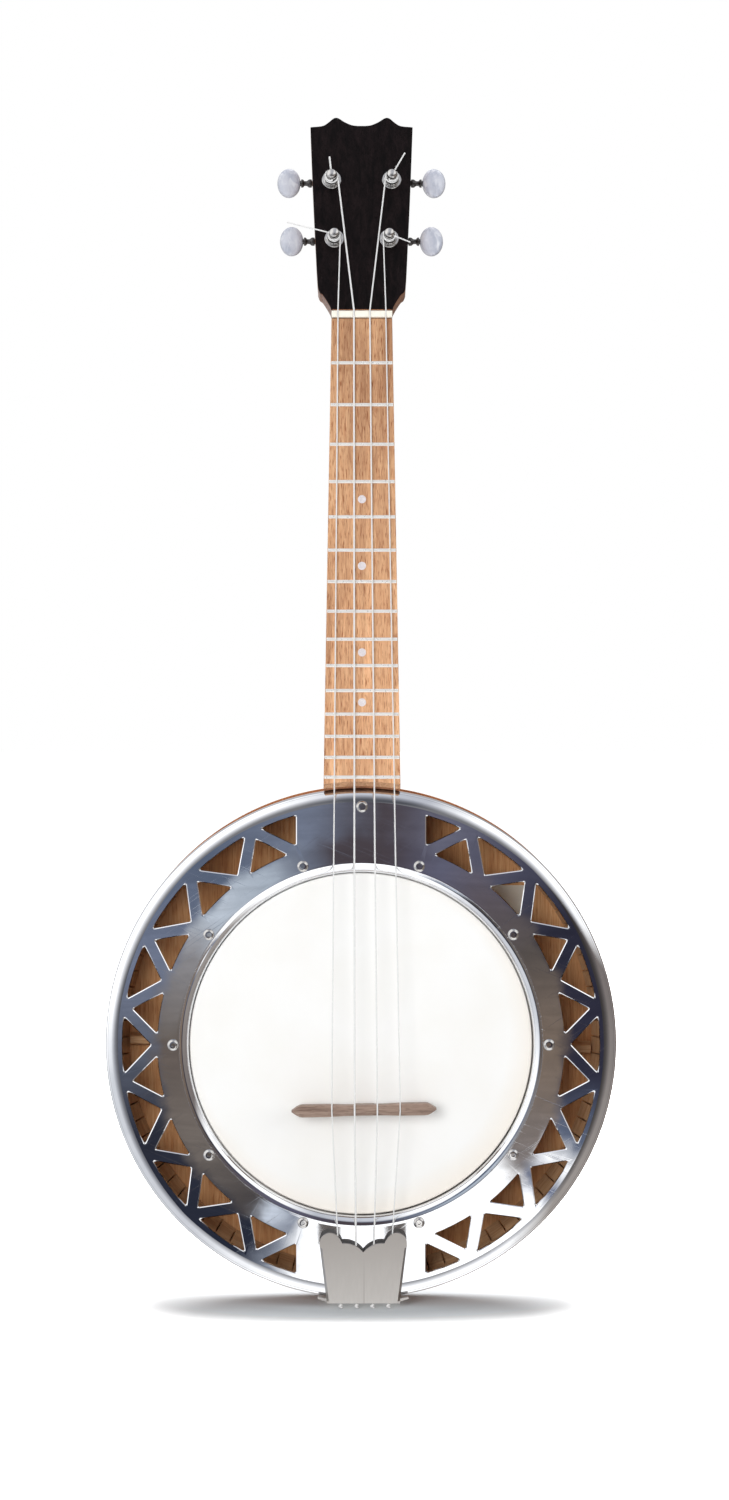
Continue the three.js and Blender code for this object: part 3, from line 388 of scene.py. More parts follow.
def wire(name, points, radius, sides=12):
    """A tube along the points, with closed ends, made as a curve and turned into a mesh."""
    bpy.ops.object.select_all(action="DESELECT")
    bpy.ops.object.add(type="CURVE")
    obj = bpy.context.object
    obj.name = obj.data.name = name
    line = obj.data.splines.new("POLY")
    line.points.add(len(points) - 1)
    for spot, point in zip(line.points, points):
        spot.co = (*point, 1)
    obj.data.dimensions = "3D"
    obj.data.bevel_depth = radius
    obj.data.bevel_resolution = sides // 2 - 2
    obj.data.use_fill_caps = True
    pick(obj)
    bpy.ops.object.convert(target="MESH")
    return tidy(bpy.context.object)


print("carving helpers are ready")

# %% [markdown]
# Materials are networks of nodes. A small helper adds a node, sets its properties and fills its
# sockets with plain values or with the outputs of other nodes. A colour is given by three values, or by
# one value where it is grey.

# %% Node helpers
def is_socket(value):
    return isinstance(value, bpy.types.NodeSocket)


def rgba(color):
    return (*color, 1) if isinstance(color, tuple) else (color, color, color, 1)


def node(tree, kind, sockets=None, **properties):
    made = tree.nodes.new("ShaderNode" + kind)
    for key, value in properties.items():
        setattr(made, key, value)
    for key, value in (sockets or {}).items():
        if is_socket(value):
            tree.links.new(value, made.inputs[key])
        else:
            made.inputs[key].default_value = value
    return made


def stops(tree, factor, *places_and_colors):
    """A colour ramp with as many stops as it is given."""
    made = node(tree, "ValToRGB", {"Fac": factor})
    elements = made.color_ramp.elements
    for place, _ in places_and_colors[2:]:
        elements.new(place)
    for element, (place, color) in zip(elements, places_and_colors):
        element.position = place
        element.color = rgba(color)
    return made.outputs["Color"]


def ramp(tree, factor, low, high):
    """Black up to the low value, white from the high one."""
    return stops(tree, factor, (low, 0), (high, 1))


def mix(tree, factor, first, second, blend="MIX"):
    first, second = (color if is_socket(color) else rgba(color) for color in (first, second))
    made = node(tree, "Mix", {0: factor, 6: first, 7: second}, data_type="RGBA", blend_type=blend)
    return made.outputs[2]


def calc(tree, operation, *values):
    return node(tree, "Math", dict(enumerate(values)), operation=operation).outputs[0]


def linear(tree, value, slope, start):
    return calc(tree, "MULTIPLY_ADD", value, slope, start)


def noise(tree, vector, scale, detail=2.0, roughness=0.5, distortion=0.0):
    sockets = {"Vector": vector, "Scale": scale, "Detail": detail, "Roughness": roughness,
               "Distortion": distortion}
    return node(tree, "TexNoise", sockets).outputs["Fac"]


def mapped(tree, vector, **sockets):
    return node(tree, "Mapping", {"Vector": vector, **sockets}).outputs[0]


def split(tree, vector):
    """The x, y and z of a vector."""
    return node(tree, "SeparateXYZ", {"Vector": vector}).outputs


def from_middle(tree, x, z):
    """The distance of a point from the middle."""
    squares = [calc(tree, "MULTIPLY", value, value) for value in (x, z)]
    return calc(tree, "SQRT", calc(tree, "ADD", *squares))


def around(tree, parts):
    """The angle about the y axis as a share of a turn, from the left, with the right side at a half."""
    return linear(tree, calc(tree, "ARCTAN2", parts["Z"], parts["X"]), 1 / FULL_TURN, 0.5)


def group(name, inputs, outputs):
    """An empty node group with named sockets; returns its tree, its inputs and its outputs."""
    tree = bpy.data.node_groups.new(name, "ShaderNodeTree")
    for label, value in inputs.items():
        kind = "Float" if isinstance(value, (int, float)) else "Color" if len(value) == 4 else "Vector"
        socket = tree.interface.new_socket(label, in_out="INPUT", socket_type="NodeSocket" + kind)
        socket.default_value = value
    for label, kind in outputs.items():
        tree.interface.new_socket(label, in_out="OUTPUT", socket_type="NodeSocket" + kind)
    return tree, tree.nodes.new("NodeGroupInput").outputs, tree.nodes.new("NodeGroupOutput").inputs


def use(tree, shared, sockets):
    return node(tree, "Group", sockets, node_tree=shared).outputs


print("node helpers are ready")

# %% [markdown]
# What several finishes share is a node group with named inputs and outputs. Wood shows three things at
# once: broad bands of lighter and darker growth, fine fibres that run with the grain, and short dark
# pores. The group mixes all three from noise that its user has already stretched along the grain.

# %% Wood grain group
wood_grain, ins, outs = group(
    "wood_grain",
    {"Vector": (0, 0, 0), "Light": (0.5, 0.3, 0.15, 1), "Dark": (0.2, 0.1, 0.05, 1),
     "Bands": 0.1, "Fibres": 1.0, "Pores": 0.5},
    {"Color": "Color", "Height": "Float"},
)
bands = noise(wood_grain, ins["Vector"], ins["Bands"], 3, 0.5, 0.8)
fibres = noise(wood_grain, ins["Vector"], ins["Fibres"], 5, 0.65, 0.2)
pore_scale = calc(wood_grain, "MULTIPLY", ins["Fibres"], 2.3)
pores = ramp(wood_grain, noise(wood_grain, ins["Vector"], pore_scale), 0.56, 0.66)
base = mix(wood_grain, ramp(wood_grain, bands, 0.32, 0.68), ins["Light"], ins["Dark"])
streaked = mix(wood_grain, 0.55, base, ramp(wood_grain, fibres, 0.25, 0.75), "SOFT_LIGHT")
pore_amount = calc(wood_grain, "MULTIPLY", pores, ins["Pores"])
pored = mix(wood_grain, pore_amount, streaked, ins["Dark"], "MULTIPLY")
wood_grain.links.new(pored, outs["Color"])
height = calc(wood_grain, "SUBTRACT", fibres, calc(wood_grain, "MULTIPLY", pores, 0.8))
wood_grain.links.new(height, outs["Height"])
print("wood grain group has", len(wood_grain.nodes), "nodes")

# %% [markdown]
# Handled metal carries fine wipe marks and faint clouds left by fingers. The marks are thin lines:
# noise that is squeezed hard in one direction and cut to its very top. Two sets of them cross.

# %% Wear group
MARK_TURNS = (22, -35)
MARK_SHAPE = (60, 2, 0.6)
wear, ins, outs = group(
    "wear",
    {"Vector": (0, 0, 0), "Marks": 1.0},
    {"Lines": "Float", "Clouds": "Float"},
)
lines = []
for degrees in MARK_TURNS:
    spun = node(wear, "Mapping", {
        "Vector": ins["Vector"], "Rotation": (0, math.radians(degrees), 0), "Scale": MARK_SHAPE,
    }, vector_type="TEXTURE")
    lines.append(ramp(wear, noise(wear, spun.outputs[0], ins["Marks"], 3, 0.6), 0.63, 0.7))
wear.links.new(calc(wear, "MAXIMUM", *lines), outs["Lines"])
wear.links.new(ramp(wear, noise(wear, ins["Vector"], 0.05, 4, 0.6, 0.5), 0.35, 0.7), outs["Clouds"])
print("wear group has", len(wear.nodes), "nodes")

# %% [markdown]
# Round pieces, such as the bent side and the linings, have grain that runs round the body. This group
# turns a place into its depth, its radius and its way round the body's middle, all in millimetres.

# %% Round grain group
round_grain, ins, outs = group("round_grain", {"Vector": (0, 0, 0)}, {"Vector": "Vector"})
parts = split(round_grain, ins["Vector"])
angle = calc(round_grain, "ARCTAN2", parts["Z"], parts["X"])
way = calc(round_grain, "MULTIPLY", angle, PLATE_RADIUS)
radius = from_middle(round_grain, parts["X"], parts["Z"])
built = node(round_grain, "CombineXYZ", {"X": parts["Y"], "Y": radius, "Z": way}).outputs[0]
round_grain.links.new(built, outs["Vector"])
print("round grain group has", len(round_grain.nodes), "nodes")

# %% [markdown]
# Every finish is one material with one main shader. Its patterns are laid out in millimetres from the
# origin of the frame that the piece belongs to. Most finishes are plain surfaces that vary a little, so
# one helper lets a single cloud of noise move the colour, the roughness and the relief together.

# %% Making a material
MATERIALS = {}


def material(name, color, roughness, metallic=0.0, **sockets):
    """A material with one main shader; returns its tree and that shader."""
    made = bpy.data.materials.new(name)
    made.use_nodes = True
    MATERIALS[name] = made
    shader = made.node_tree.nodes["Principled BSDF"]
    values = {"Base Color": rgba(color), "Roughness": roughness, "Metallic": metallic, **sockets}
    for key, value in values.items():
        shader.inputs[key].default_value = value
    return made.node_tree, shader


def places(tree, origin=BODY, grain=(1, 1, 1)):
    """Object coordinates in millimetres from a frame's origin, stretched along the grain."""
    spot = node(tree, "TexCoord").outputs["Object"]
    from_origin = mapped(tree, spot, Location=tuple(-v for v in origin.translation))
    return mapped(tree, from_origin, Scale=tuple(v / MM for v in grain))


def paint(tree, shader, tint):
    tree.links.new(tint, shader.inputs["Base Color"])


def roughen(tree, shader, value, slope, start):
    tree.links.new(linear(tree, value, slope, start), shader.inputs["Roughness"])


def bump(tree, shader, height, distance):
    made = node(tree, "Bump", {"Height": height, "Distance": distance * MM, "Strength": 1.0})
    tree.links.new(made.outputs[0], shader.inputs["Normal"])


def clouded(name, main, texture, colors, edges=None, shine=None, relief=None, frame=BODY,
            grain=(1, 1, 1), **sockets):
    """A finish that follows one noise; returns its tree, its shader, its places and its tint."""
    tree, shader = material(name, *main, **sockets)
    spots = places(tree, frame, grain)
    cloud = noise(tree, spots, *texture)
    tint = mix(tree, ramp(tree, cloud, *edges) if edges else cloud, *colors)
    paint(tree, shader, tint)
    if shine:
        roughen(tree, shader, cloud, *shine)
    if relief:
        bump(tree, shader, cloud, relief)
    return tree, shader, spots, tint


print("the material helpers are ready")

# %% [markdown]
# The plate is bright plated metal. Real polished sheet is never a perfect mirror: it waves a little, and
# wiping leaves hairlines. The waves are a broad, low bump, the hairlines raise the roughness. The screws
# are the same metal, duller and dusty.

# %% Polished metal
tree, shader = material("polished_steel", (0.8, 0.81, 0.83), 0.05, 1.0)
spots = places(tree)
marks = use(tree, wear, {"Vector": spots, "Marks": 0.8})
roughen(tree, shader, marks["Lines"], 0.12, linear(tree, marks["Clouds"], 0.03, 0.02))
paint(tree, shader, mix(tree, marks["Clouds"], (0.82, 0.83, 0.85), (0.74, 0.755, 0.78)))
bump(tree, shader, linear(tree, marks["Lines"], -0.015, noise(tree, spots, 0.018, 1, 0.3)), 0.13)

tree, shader = material("bright_screw", 0.83, 0.1, 1.0)
spots = places(tree)
marks = use(tree, wear, {"Vector": spots, "Marks": 3.0})
roughen(tree, shader, marks["Lines"], 0.12, linear(tree, noise(tree, spots, 1.3, 3), 0.14, 0.03))
paint(tree, shader, mix(tree, noise(tree, spots, 0.6, 2), (0.66, 0.65, 0.64), (0.5, 0.485, 0.47)))
print("polished metals:", sorted(MATERIALS))

# %% [markdown]
# The tailpiece has a warm satin face that was brushed up and down. It is painted darker towards its top,
# a painted reflection, and a faint line of painted shade runs down its middle, where the sheet seems to
# fold. Its colours follow the height and the distance from that line.

# %% Satin metal
PAINTED_FOLD_LINE_X = 1.6
tree, shader = material("satin_steel", (0.6, 0.57, 0.53), 0.34, 1.0)
brushed = noise(tree, places(tree, BODY, (1, 1, 0.03)), 0.7, 4, 0.6)
parts = split(tree, places(tree))
# painted reflection: the face is painted darker towards the tailpiece's top
painted_reflection_up = ramp(tree, linear(tree, parts["Z"], 0.02, 3), 0.15, 0.95)
tint = mix(tree, ramp(tree, brushed, 0.25, 0.75), (0.6, 0.575, 0.54), (0.66, 0.635, 0.6))
tint = mix(tree, painted_reflection_up, tint, (0.44, 0.41, 0.38))
# painted shade: a faint dark line down the middle, standing in for a fold
aside = calc(tree, "ABSOLUTE", calc(tree, "ADD", parts["X"], -PAINTED_FOLD_LINE_X))
paint(tree, shader, mix(tree, calc(tree, "LESS_THAN", aside, 0.35), tint, (0.5, 0.47, 0.44)))
roughen(tree, shader, brushed, 0.16, 0.26)
bump(tree, shader, brushed, 0.006)
print("finishes so far:", len(MATERIALS))

# %% [markdown]
# The other metals are small: pale frets worn by fingers, black lacquered tuners under a clear coat, and
# brass gears with brown stains. Bone, nylon, pearl dots and paper vary as simply. The buttons imitate
# pearl too, with a second layer of paler flecks, under a clear, glossy coat.

# %% Small metals and pale finishes
clouded("fret_metal", ((0.9, 0.9, 0.88), 0.3, 0.45), (0.8, 3, 0.6), ((0.94, 0.94, 0.92), (0.86, 0.86, 0.84)),
        shine=(0.2, 0.2), frame=NECK)
clouded("black_metal", ((0.016, 0.014, 0.014), 0.28), (0.9, 4, 0.6),
        ((0.012, 0.01, 0.01), (0.03, 0.026, 0.025)), shine=(0.2, 0.16), relief=0.02, **{"Coat Weight": 0.6})
clouded("brass", ((0.62, 0.45, 0.2), 0.3, 1.0), (0.7, 5, 0.65), ((0.68, 0.5, 0.24), (0.42, 0.28, 0.11)),
        (0.35, 0.75), shine=(0.25, 0.16))
clouded("string_nylon", (0.84, 0.25), (0.8, 3, 0.6), (0.76, 0.84), shine=(0.2, 0.15))
clouded("inlay_pearl", ((0.72, 0.68, 0.7), 0.25), (0.7, 3, 0.5, 1.0), ((0.66, 0.62, 0.65), (0.82, 0.77, 0.79)),
        (0.3, 0.7), shine=(0.2, 0.15), frame=NECK, **{"Coat Weight": 0.3})
clouded("paper", ((0.83, 0.79, 0.7), 0.8), (1.2, 4, 0.6), ((0.85, 0.81, 0.72), (0.77, 0.72, 0.61)), relief=0.01)
tree, shader, spots, _ = clouded(
    "bone", ((0.86, 0.8, 0.66), 0.35), (0.5, 4, 0.6, 0.6), ((0.98, 0.95, 0.86), (0.92, 0.88, 0.76)),
    (0.3, 0.75), shine=(0.2, 0.25), frame=NECK)
bump(tree, shader, noise(tree, spots, 3, 2), 0.006)
tree, shader, spots, tint = clouded(
    "pearl", ((0.5, 0.52, 0.6), 0.3), (0.13, 2, 0.4, 1.2), ((0.46, 0.49, 0.58), (0.6, 0.62, 0.7)),
    (0.35, 0.65), shine=(0.3, 0.15), frame=HEAD, grain=(1, 1, 0.45),
    **{"Coat Weight": 0.7, "Coat Roughness": 0.06})
flecks = ramp(tree, noise(tree, spots, 0.3, 2, 0.5, 1.5), 0.5, 0.75)
paint(tree, shader, mix(tree, flecks, tint, (0.7, 0.72, 0.78)))
print("finishes so far:", sorted(MATERIALS))

# %% [markdown]
# The skin is a white film with a faint sprayed grain and warm, uneven clouds. Light falls off where it
# runs in under the lip, so its colour gets warmer beyond a circle that lies a little off the middle.

# %% Skin
SHADE_X, SHADE_Z = -5, 6
tree, shader = material("drum_skin", (0.92, 0.92, 0.905), 0.5)
spots = places(tree)
grain = noise(tree, spots, 1.8, 3, 0.6)
clouds = ramp(tree, noise(tree, spots, 0.025, 3, 0.5), 0.35, 0.8)
parts = split(tree, spots)
from_shade = [calc(tree, "ADD", parts[axis], -middle) for axis, middle in (("X", SHADE_X), ("Z", SHADE_Z))]
off_middle = from_middle(tree, *from_shade)
near_lip = ramp(tree, calc(tree, "MULTIPLY", off_middle, 0.01), 0.86, 1.04)
tint = mix(tree, clouds, (0.93, 0.93, 0.92), (0.9, 0.89, 0.86))
paint(tree, shader, mix(tree, near_lip, tint, (0.9, 0.85, 0.78)))
roughen(tree, shader, grain, 0.2, 0.4)
bump(tree, shader, grain, 0.015)
print("finishes so far:", len(MATERIALS))

# %% [markdown]
# Each wood is one material that uses the grain group with its own colours and scales. The grain runs up
# the neck and across the body's boards, and round the bent side and the linings. The side and the back
# are stained outside and raw inside, so the stain is laid on beyond the side's radius and on the back's
# face. The fretboard carries painted light: it is painted paler towards the body, where more light falls.

# %% Wood finishes
SIDE_RADIUS, BACK_FACE = 138.4, 46
UP_NECK, UP_BOARD, UP_OVERLAY, ACROSS = (1, 1, 0.04), (1, 1, 0.05), (1, 1, 0.02), (0.05, 1, 1)


def stained(tree, tint, stain):
    parts = split(tree, places(tree))
    far = from_middle(tree, parts["X"], parts["Z"])
    shell = calc(tree, "GREATER_THAN", far, SIDE_RADIUS - 0.3)
    behind = calc(tree, "GREATER_THAN", parts["Y"], BACK_FACE - 0.5)
    return mix(tree, calc(tree, "MAXIMUM", shell, behind), tint, stain, "MULTIPLY")


def wood(name, light, dark, roughness, bands, fibres, pores, grain=UP_NECK, origin=BODY,
         round_the_body=False, relief=0.04, coat=0.0, stain=None):
    tree, shader = material(name, light, roughness, **{"Coat Weight": coat, "Coat Roughness": 0.2})
    if round_the_body:
        spots = use(tree, round_grain, {"Vector": places(tree)})["Vector"]
        spots = mapped(tree, spots, Scale=grain)
    else:
        spots = places(tree, origin, grain)
    made = use(tree, wood_grain, {"Vector": spots, "Light": rgba(light), "Dark": rgba(dark),
                                  "Bands": bands, "Fibres": fibres, "Pores": pores})
    tint = stained(tree, made["Color"], stain) if stain else made["Color"]
    paint(tree, shader, tint)
    roughen(tree, shader, made["Height"], -0.18, roughness + 0.08)
    bump(tree, shader, made["Height"], relief)
    return tree, shader, tint


OUTSIDE_LIGHT, OUTSIDE_DARK = (0.72, 0.4, 0.19), (0.52, 0.25, 0.105)
wood("neck_wood", (0.34, 0.15, 0.07), (0.2, 0.075, 0.035), 0.38, 0.09, 1.0, 0.5, origin=NECK, coat=0.25)
wood("bridge_wood", (0.41, 0.3, 0.24), (0.23, 0.155, 0.12), 0.55, 0.16, 1.5, 0.6, ACROSS)
wood("pale_wood", (0.66, 0.42, 0.24), (0.5, 0.29, 0.15), 0.6, 0.1, 1.1, 0.2, UP_BOARD, round_the_body=True)
wood("block_wood", (0.64, 0.4, 0.22), (0.48, 0.27, 0.14), 0.6, 0.1, 1.1, 0.25, ACROSS)
wood("side_wood", OUTSIDE_LIGHT, OUTSIDE_DARK, 0.5, 0.09, 1.0, 0.5, round_the_body=True, stain=(0.5, 0.37, 0.3))
wood("back_wood", OUTSIDE_LIGHT, OUTSIDE_DARK, 0.5, 0.05, 1.0, 0.5, stain=(0.56, 0.42, 0.35))
_, shader, _ = wood("ebony", (0.002, 0.0012, 0.0015), (0.009, 0.0055, 0.006), 0.55, 0.3, 1.3, 0.6,
                    UP_OVERLAY, NECK, relief=0.05)
shader.inputs["Specular IOR Level"].default_value = 0.1
tree, shader, tint = wood("fretboard_wood", (0.74, 0.43, 0.24), (0.42, 0.215, 0.115), 0.5, 0.11, 1.3, 0.85,
                          UP_BOARD, NECK)
# painted highlight: the board's colour is raised towards the body, standing in for stronger light there
down = linear(tree, split(tree, places(tree, NECK))["Z"], -0.004, 0)
paler = stops(tree, down, (0.0, (0.9, 0.89, 0.87)), (1.0, (1.26, 1.27, 1.26)))
paint(tree, shader, mix(tree, 1.0, tint, paler, "MULTIPLY"))
print("all finishes:", sorted(MATERIALS))

# %% [markdown]
# Every finished piece goes through the same last step. Its place is applied to the mesh, it gets its
# material, its faces are shaded smooth where they meet gently, it is hung on the body it rides on, and
# the solids of the frame that it stands for are hidden.

# %% The last step of every piece
PIECES = []


def settle(obj, place, finish, *nodes, body="root", slot=None, angle=35):
    put(obj, place)
    obj.data.materials.clear()
    obj.data.materials.append(MATERIALS[finish])
    pick(obj)
    bpy.ops.object.shade_smooth_by_angle(angle=math.radians(angle))
    modify(obj, "WEIGHTED_NORMAL", weight=80, keep_sharp=True)
    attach(obj, body)
    if nodes:
        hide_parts(*nodes)
    PIECES.append(obj)
    return obj


# %% [markdown]
# The cover plate is one spun sheet. Its profile starts at the rolled outer edge, runs across the flat
# band and turns down into the lip round the skin. A real one is pressed, so both rolls are long and
# soft: each is a quarter of an oval, outside and again one sheet further in.

# %% Cover plate sheet
SHEET = 1.2
ROLL, ROLL_STEPS = 3.8, 12
EDGE_REACH, LIP_REACH = 7.5, 6.5
SKIRT, LIP = 8, 9
WINDOW = 98
LIP_INSIDE = WINDOW - ROLL
RING_STEPS = 240


def roll(middle, reach, tall):
    return [(middle + reach * math.sin(a), ROLL - tall * math.cos(a)) for a in quarter(ROLL_STEPS)]


edge_start, lip_start = PLATE_RADIUS - EDGE_REACH, LIP_INSIDE + LIP_REACH
plate = turned("plate_sheet", [
    *roll(edge_start, EDGE_REACH, ROLL), (PLATE_RADIUS, SKIRT), (PLATE_RADIUS - SHEET, SKIRT),
    *roll(edge_start, EDGE_REACH - SHEET, ROLL - SHEET)[::-1],
    *roll(lip_start, SHEET - LIP_REACH, ROLL - SHEET), (LIP_INSIDE + SHEET, LIP), (LIP_INSIDE, LIP),
    *roll(lip_start, -LIP_REACH, ROLL)[::-1],
], RING_STEPS)
print("sheet:", len(plate.data.polygons), "faces")

# %% [markdown]
# The plate has two rows of triangles. Each row's first triangle is drawn once, and spinning copies carry
# it round one half; the other half is the same cutter turned by half a turn. The cutter is used twice:
# straight, and as funnels that break the sharp edge of each opening, as a file would.

# %% Openings of the cover plate
OUTER_RING, OUTER_APEX, OUTER_SPREAD = 130.2, 114.6, 6.85
INNER_RING, INNER_APEX, INNER_SPREAD = 111.3, 126.1, 5.9
PITCH = 18
LAST, END_SPREAD = 4 * PITCH, 6.8
CORNER = 0.9
BROKEN_EDGE = 0.45
BOLT_HOLE = 1.9
SCREW_X = 0.5
BOLT_PLACES = [polar(WINDOW + 4.6, 90 - 36 * (i + 0.5)) for i in range(10)]


def triangle(apex, base, middle, spread):
    side = [polar(base, middle + spread * t) for t in (-1, -0.5, 0, 0.5, 1)]
    return rounded([polar(apex, middle), *side], CORNER)


def prism(outline):
    return slab("window", outline, -5, 6)


def funnel(outline):
    """A cutter that widens towards the front, so that it breaks the edge of an opening."""
    pairs = list(zip(outline, outline[1:] + outline[:1]))
    crosses = [x0 * z1 - x1 * z0 for (x0, z0), (x1, z1) in pairs]
    area = sum(crosses) / 2
    middle_x = sum((x0 + x1) * c for ((x0, _), (x1, _)), c in zip(pairs, crosses)) / (6 * area)
    middle_z = sum((z0 + z1) * c for ((_, z0), (_, z1)), c in zip(pairs, crosses)) / (6 * area)
    reach = 2 * abs(area) / sum(math.dist(a, b) for a, b in pairs)
    grow = 1 + 3 * BROKEN_EDGE / reach
    obj = draw("window", [(x, BROKEN_EDGE, z) for x, z in outline])
    edit(obj)
    push((0, -3 * BROKEN_EDGE, 0))
    resize((grow, 1, grow), (middle_x, 0, middle_z))
    leave()
    return tidy(obj)


def window_cutter(shape):
    """All the openings of the plate as one set of separate cutters."""
    sets = []
    for apex, base, spread, start, count in (
        (OUTER_APEX, OUTER_RING, OUTER_SPREAD, -3 * PITCH, 7),
        (INNER_APEX, INNER_RING, INNER_SPREAD, -3.5 * PITCH, 8),
    ):
        one = shape(triangle(apex, base, start, spread))
        edit(one)
        spin(count - 1, math.radians(PITCH * (count - 1)), copies=True)
        leave()
        sets.append(one)
    edge_x, edge_z = polar(OUTER_APEX, LAST)
    start = LAST - END_SPREAD
    stop = math.degrees(math.atan2(math.sqrt(OUTER_RING ** 2 - edge_x ** 2), edge_x))
    base = [polar(OUTER_RING, start + (stop - start) * t) for t in (0, 0.5, 1)]
    for end in (-1, 1):
        sets.append(shape(rounded([(x, z * end) for x, z in [(edge_x, edge_z), *base]], CORNER)))
    half = joined("windows", *sets)
    other = put(copied(half, "windows_left"), Matrix.Rotation(math.pi, 4, "Y"))
    return tidy(joined("windows", half, other))


def screw_holes(depth):
    spots = BOLT_PLACES + [(SCREW_X, OUTER_RING)]
    return joined("holes", *[slab("hole", arc(spot, BOLT_HOLE, 0, 345, 23), -5, depth) for spot in spots])


carve(plate, window_cutter(prism))
carve(plate, window_cutter(funnel))
carve(plate, screw_holes(5))
settle(plate, BODY, "polished_steel", "cover_plate", angle=30)
print("cover plate:", len(plate.data.polygons), "faces")

# %% [markdown]
# Eleven screws hold the plate and stretch the skin. Each has a domed head with a flat top and a six
# sided socket, and a thread cut as a row of ridges. One bolt is made, and its copies go to their places,
# each turned a little further, as hands leave them.

# %% Screws
HEAD_TALL, HEAD_BRIM, HEAD_FLAT_SHARE = 2.2, 0.55, 0.52
BRIM_ROUND = 0.08
SOCKET_RADIUS, SOCKET_DEEP = 1.05, 1.2
SHANK, THREAD_START = 1.6, 1.5
THREAD_PITCH, THREAD_DEEP = 0.7, 0.27


def screw(name, head, long):
    flat = head * HEAD_FLAT_SHARE
    dome = [(flat + (head - flat) * math.sin(a), -HEAD_BRIM - (HEAD_TALL - HEAD_BRIM) * math.cos(a))
            for a in quarter(7)]
    profile = [(0, -HEAD_TALL), *dome, (head, -BRIM_ROUND), (head - BRIM_ROUND, 0), (SHANK, 0),
               (SHANK, THREAD_START)]
    depth = THREAD_START
    while depth + THREAD_PITCH < long - 1:
        profile += [(SHANK - THREAD_DEEP, depth + THREAD_PITCH / 2), (SHANK, depth + THREAD_PITCH)]
        depth += THREAD_PITCH
    profile += [(SHANK - 0.4, long - 0.4), (SHANK - 0.8, long), (0, long)]
    hexagon = arc((0, 0), SOCKET_RADIUS, 0, 300, 5)
    return carve(turned(name, profile, 24), slab("socket", hexagon, -HEAD_TALL - 1, SOCKET_DEEP - HEAD_TALL))


first_bolt = screw("bolt", 3.1, 27)
for i, (x, z) in enumerate(BOLT_PLACES):
    bolt_name = f"tension_bolt_{i + 1:02d}"
    place = BODY @ Matrix.Translation((x, 0, z)) @ Matrix.Rotation(math.radians(47 * i), 4, "Y")
    settle(copied(first_bolt, bolt_name + "_screw"), place, "bright_screw", bolt_name, angle=40)
print("a bolt has", len(first_bolt.data.polygons), "faces")
bpy.data.objects.remove(first_bolt)
cover_screw = screw("cover_screw", 3.2, 20)
settle(cover_screw, BODY @ Matrix.Translation((SCREW_X, 0, OUTER_RING)), "bright_screw", "cover_screw_top")

# %% [markdown]
# Inside the body a wooden ring carries the skin, and its flange takes the bolts. The skin is a film
# folded down over the ring's edge and glued into a hoop, which the plate's lip presses down. Both are
# turned, because they are round on the real instrument too.

# %% Drum
RIM_IN, RIM_OUT, FLANGE_OUT = 86, 92.6, 108
FILM, FILM_THICK = 4, 0.3
HOOP_TOP, HOOP_OUT = 9.3, 97.6

rim_profile = rounded([
    (RIM_IN, FILM + 0.3), (RIM_OUT, FILM + 0.3), (RIM_OUT, 18), (FLANGE_OUT, 18), (FLANGE_OUT, 30),
    (RIM_OUT, 30), (RIM_OUT, 34.9), (RIM_IN, 34.9),
], 1.2)
rim = turned("drum_rim_wood", rim_profile, 180)
carve(rim, screw_holes(40))
settle(rim, BODY, "pale_wood", "drum_rim")

film = turned("drum_skin_film", [
    (0, FILM), (30, FILM), (60, FILM), (90, FILM), *arc((RIM_OUT, FILM + 1), 1, -90, 0, 6), (93.6, HOOP_TOP),
    *rounded([(93.7, HOOP_TOP), (HOOP_OUT, HOOP_TOP), (HOOP_OUT, 13), (93.3, 13)], 0.8, closed=False),
    (93.3, 5.1), *arc((92.5, FILM + 1.1), 0.8, 0, -90, 6), (90, FILM + FILM_THICK), (0, FILM + FILM_THICK),
], 200)
settle(film, BODY, "drum_skin", "drum_head")
print("skin:", len(film.data.polygons), "faces")

# %% [markdown]
# The body is a side bent from one strip, a flat back with a rounded edge, and two linings that give the
# glue its area. A lining is sawn from the inside all round, so that it bends; the cuts can be seen
# through the openings. Two end blocks, a brace on the back and a blank paper label complete it.

# %% Side, back and linings
TAIL_X = 1.2
PIN_DEPTH = 23.8
Z_UP = Matrix.Rotation(math.pi / 2, 4, "X")
BODY_DEPTH = 43.5
SIDE_IN, LINING_OUT = 136.5, 136.2
KERFS, KERF_HALF, KERF_IN, KERF_OUT = 88, 0.45, 126, 134.8


def crosswise(tool, x, depth):
    """Lays a turned tool along the body's z axis."""
    return put(tool, Matrix.Translation((x, depth, 0)) @ Z_UP)


def pin_hole():
    return crosswise(rod("hole", 2.3, -150, -90), TAIL_X, PIN_DEPTH)


def lining(name, profile, cut_front, cut_back):
    """A ring with saw cuts from its inside, spaced evenly all round."""
    ring = turned(name, rounded(profile, 0.5), 2 * KERFS)
    cut = [(cut_front, -KERF_HALF), (cut_back, -KERF_HALF), (cut_back, KERF_HALF), (cut_front, KERF_HALF)]
    cuts = bar("kerf", cut, KERF_IN, KERF_OUT)
    edit(cuts)
    spin(KERFS, FULL_TURN, copies=True)
    bpy.ops.mesh.remove_doubles(threshold=MERGE)
    leave()
    return carve(ring, tidy(cuts))


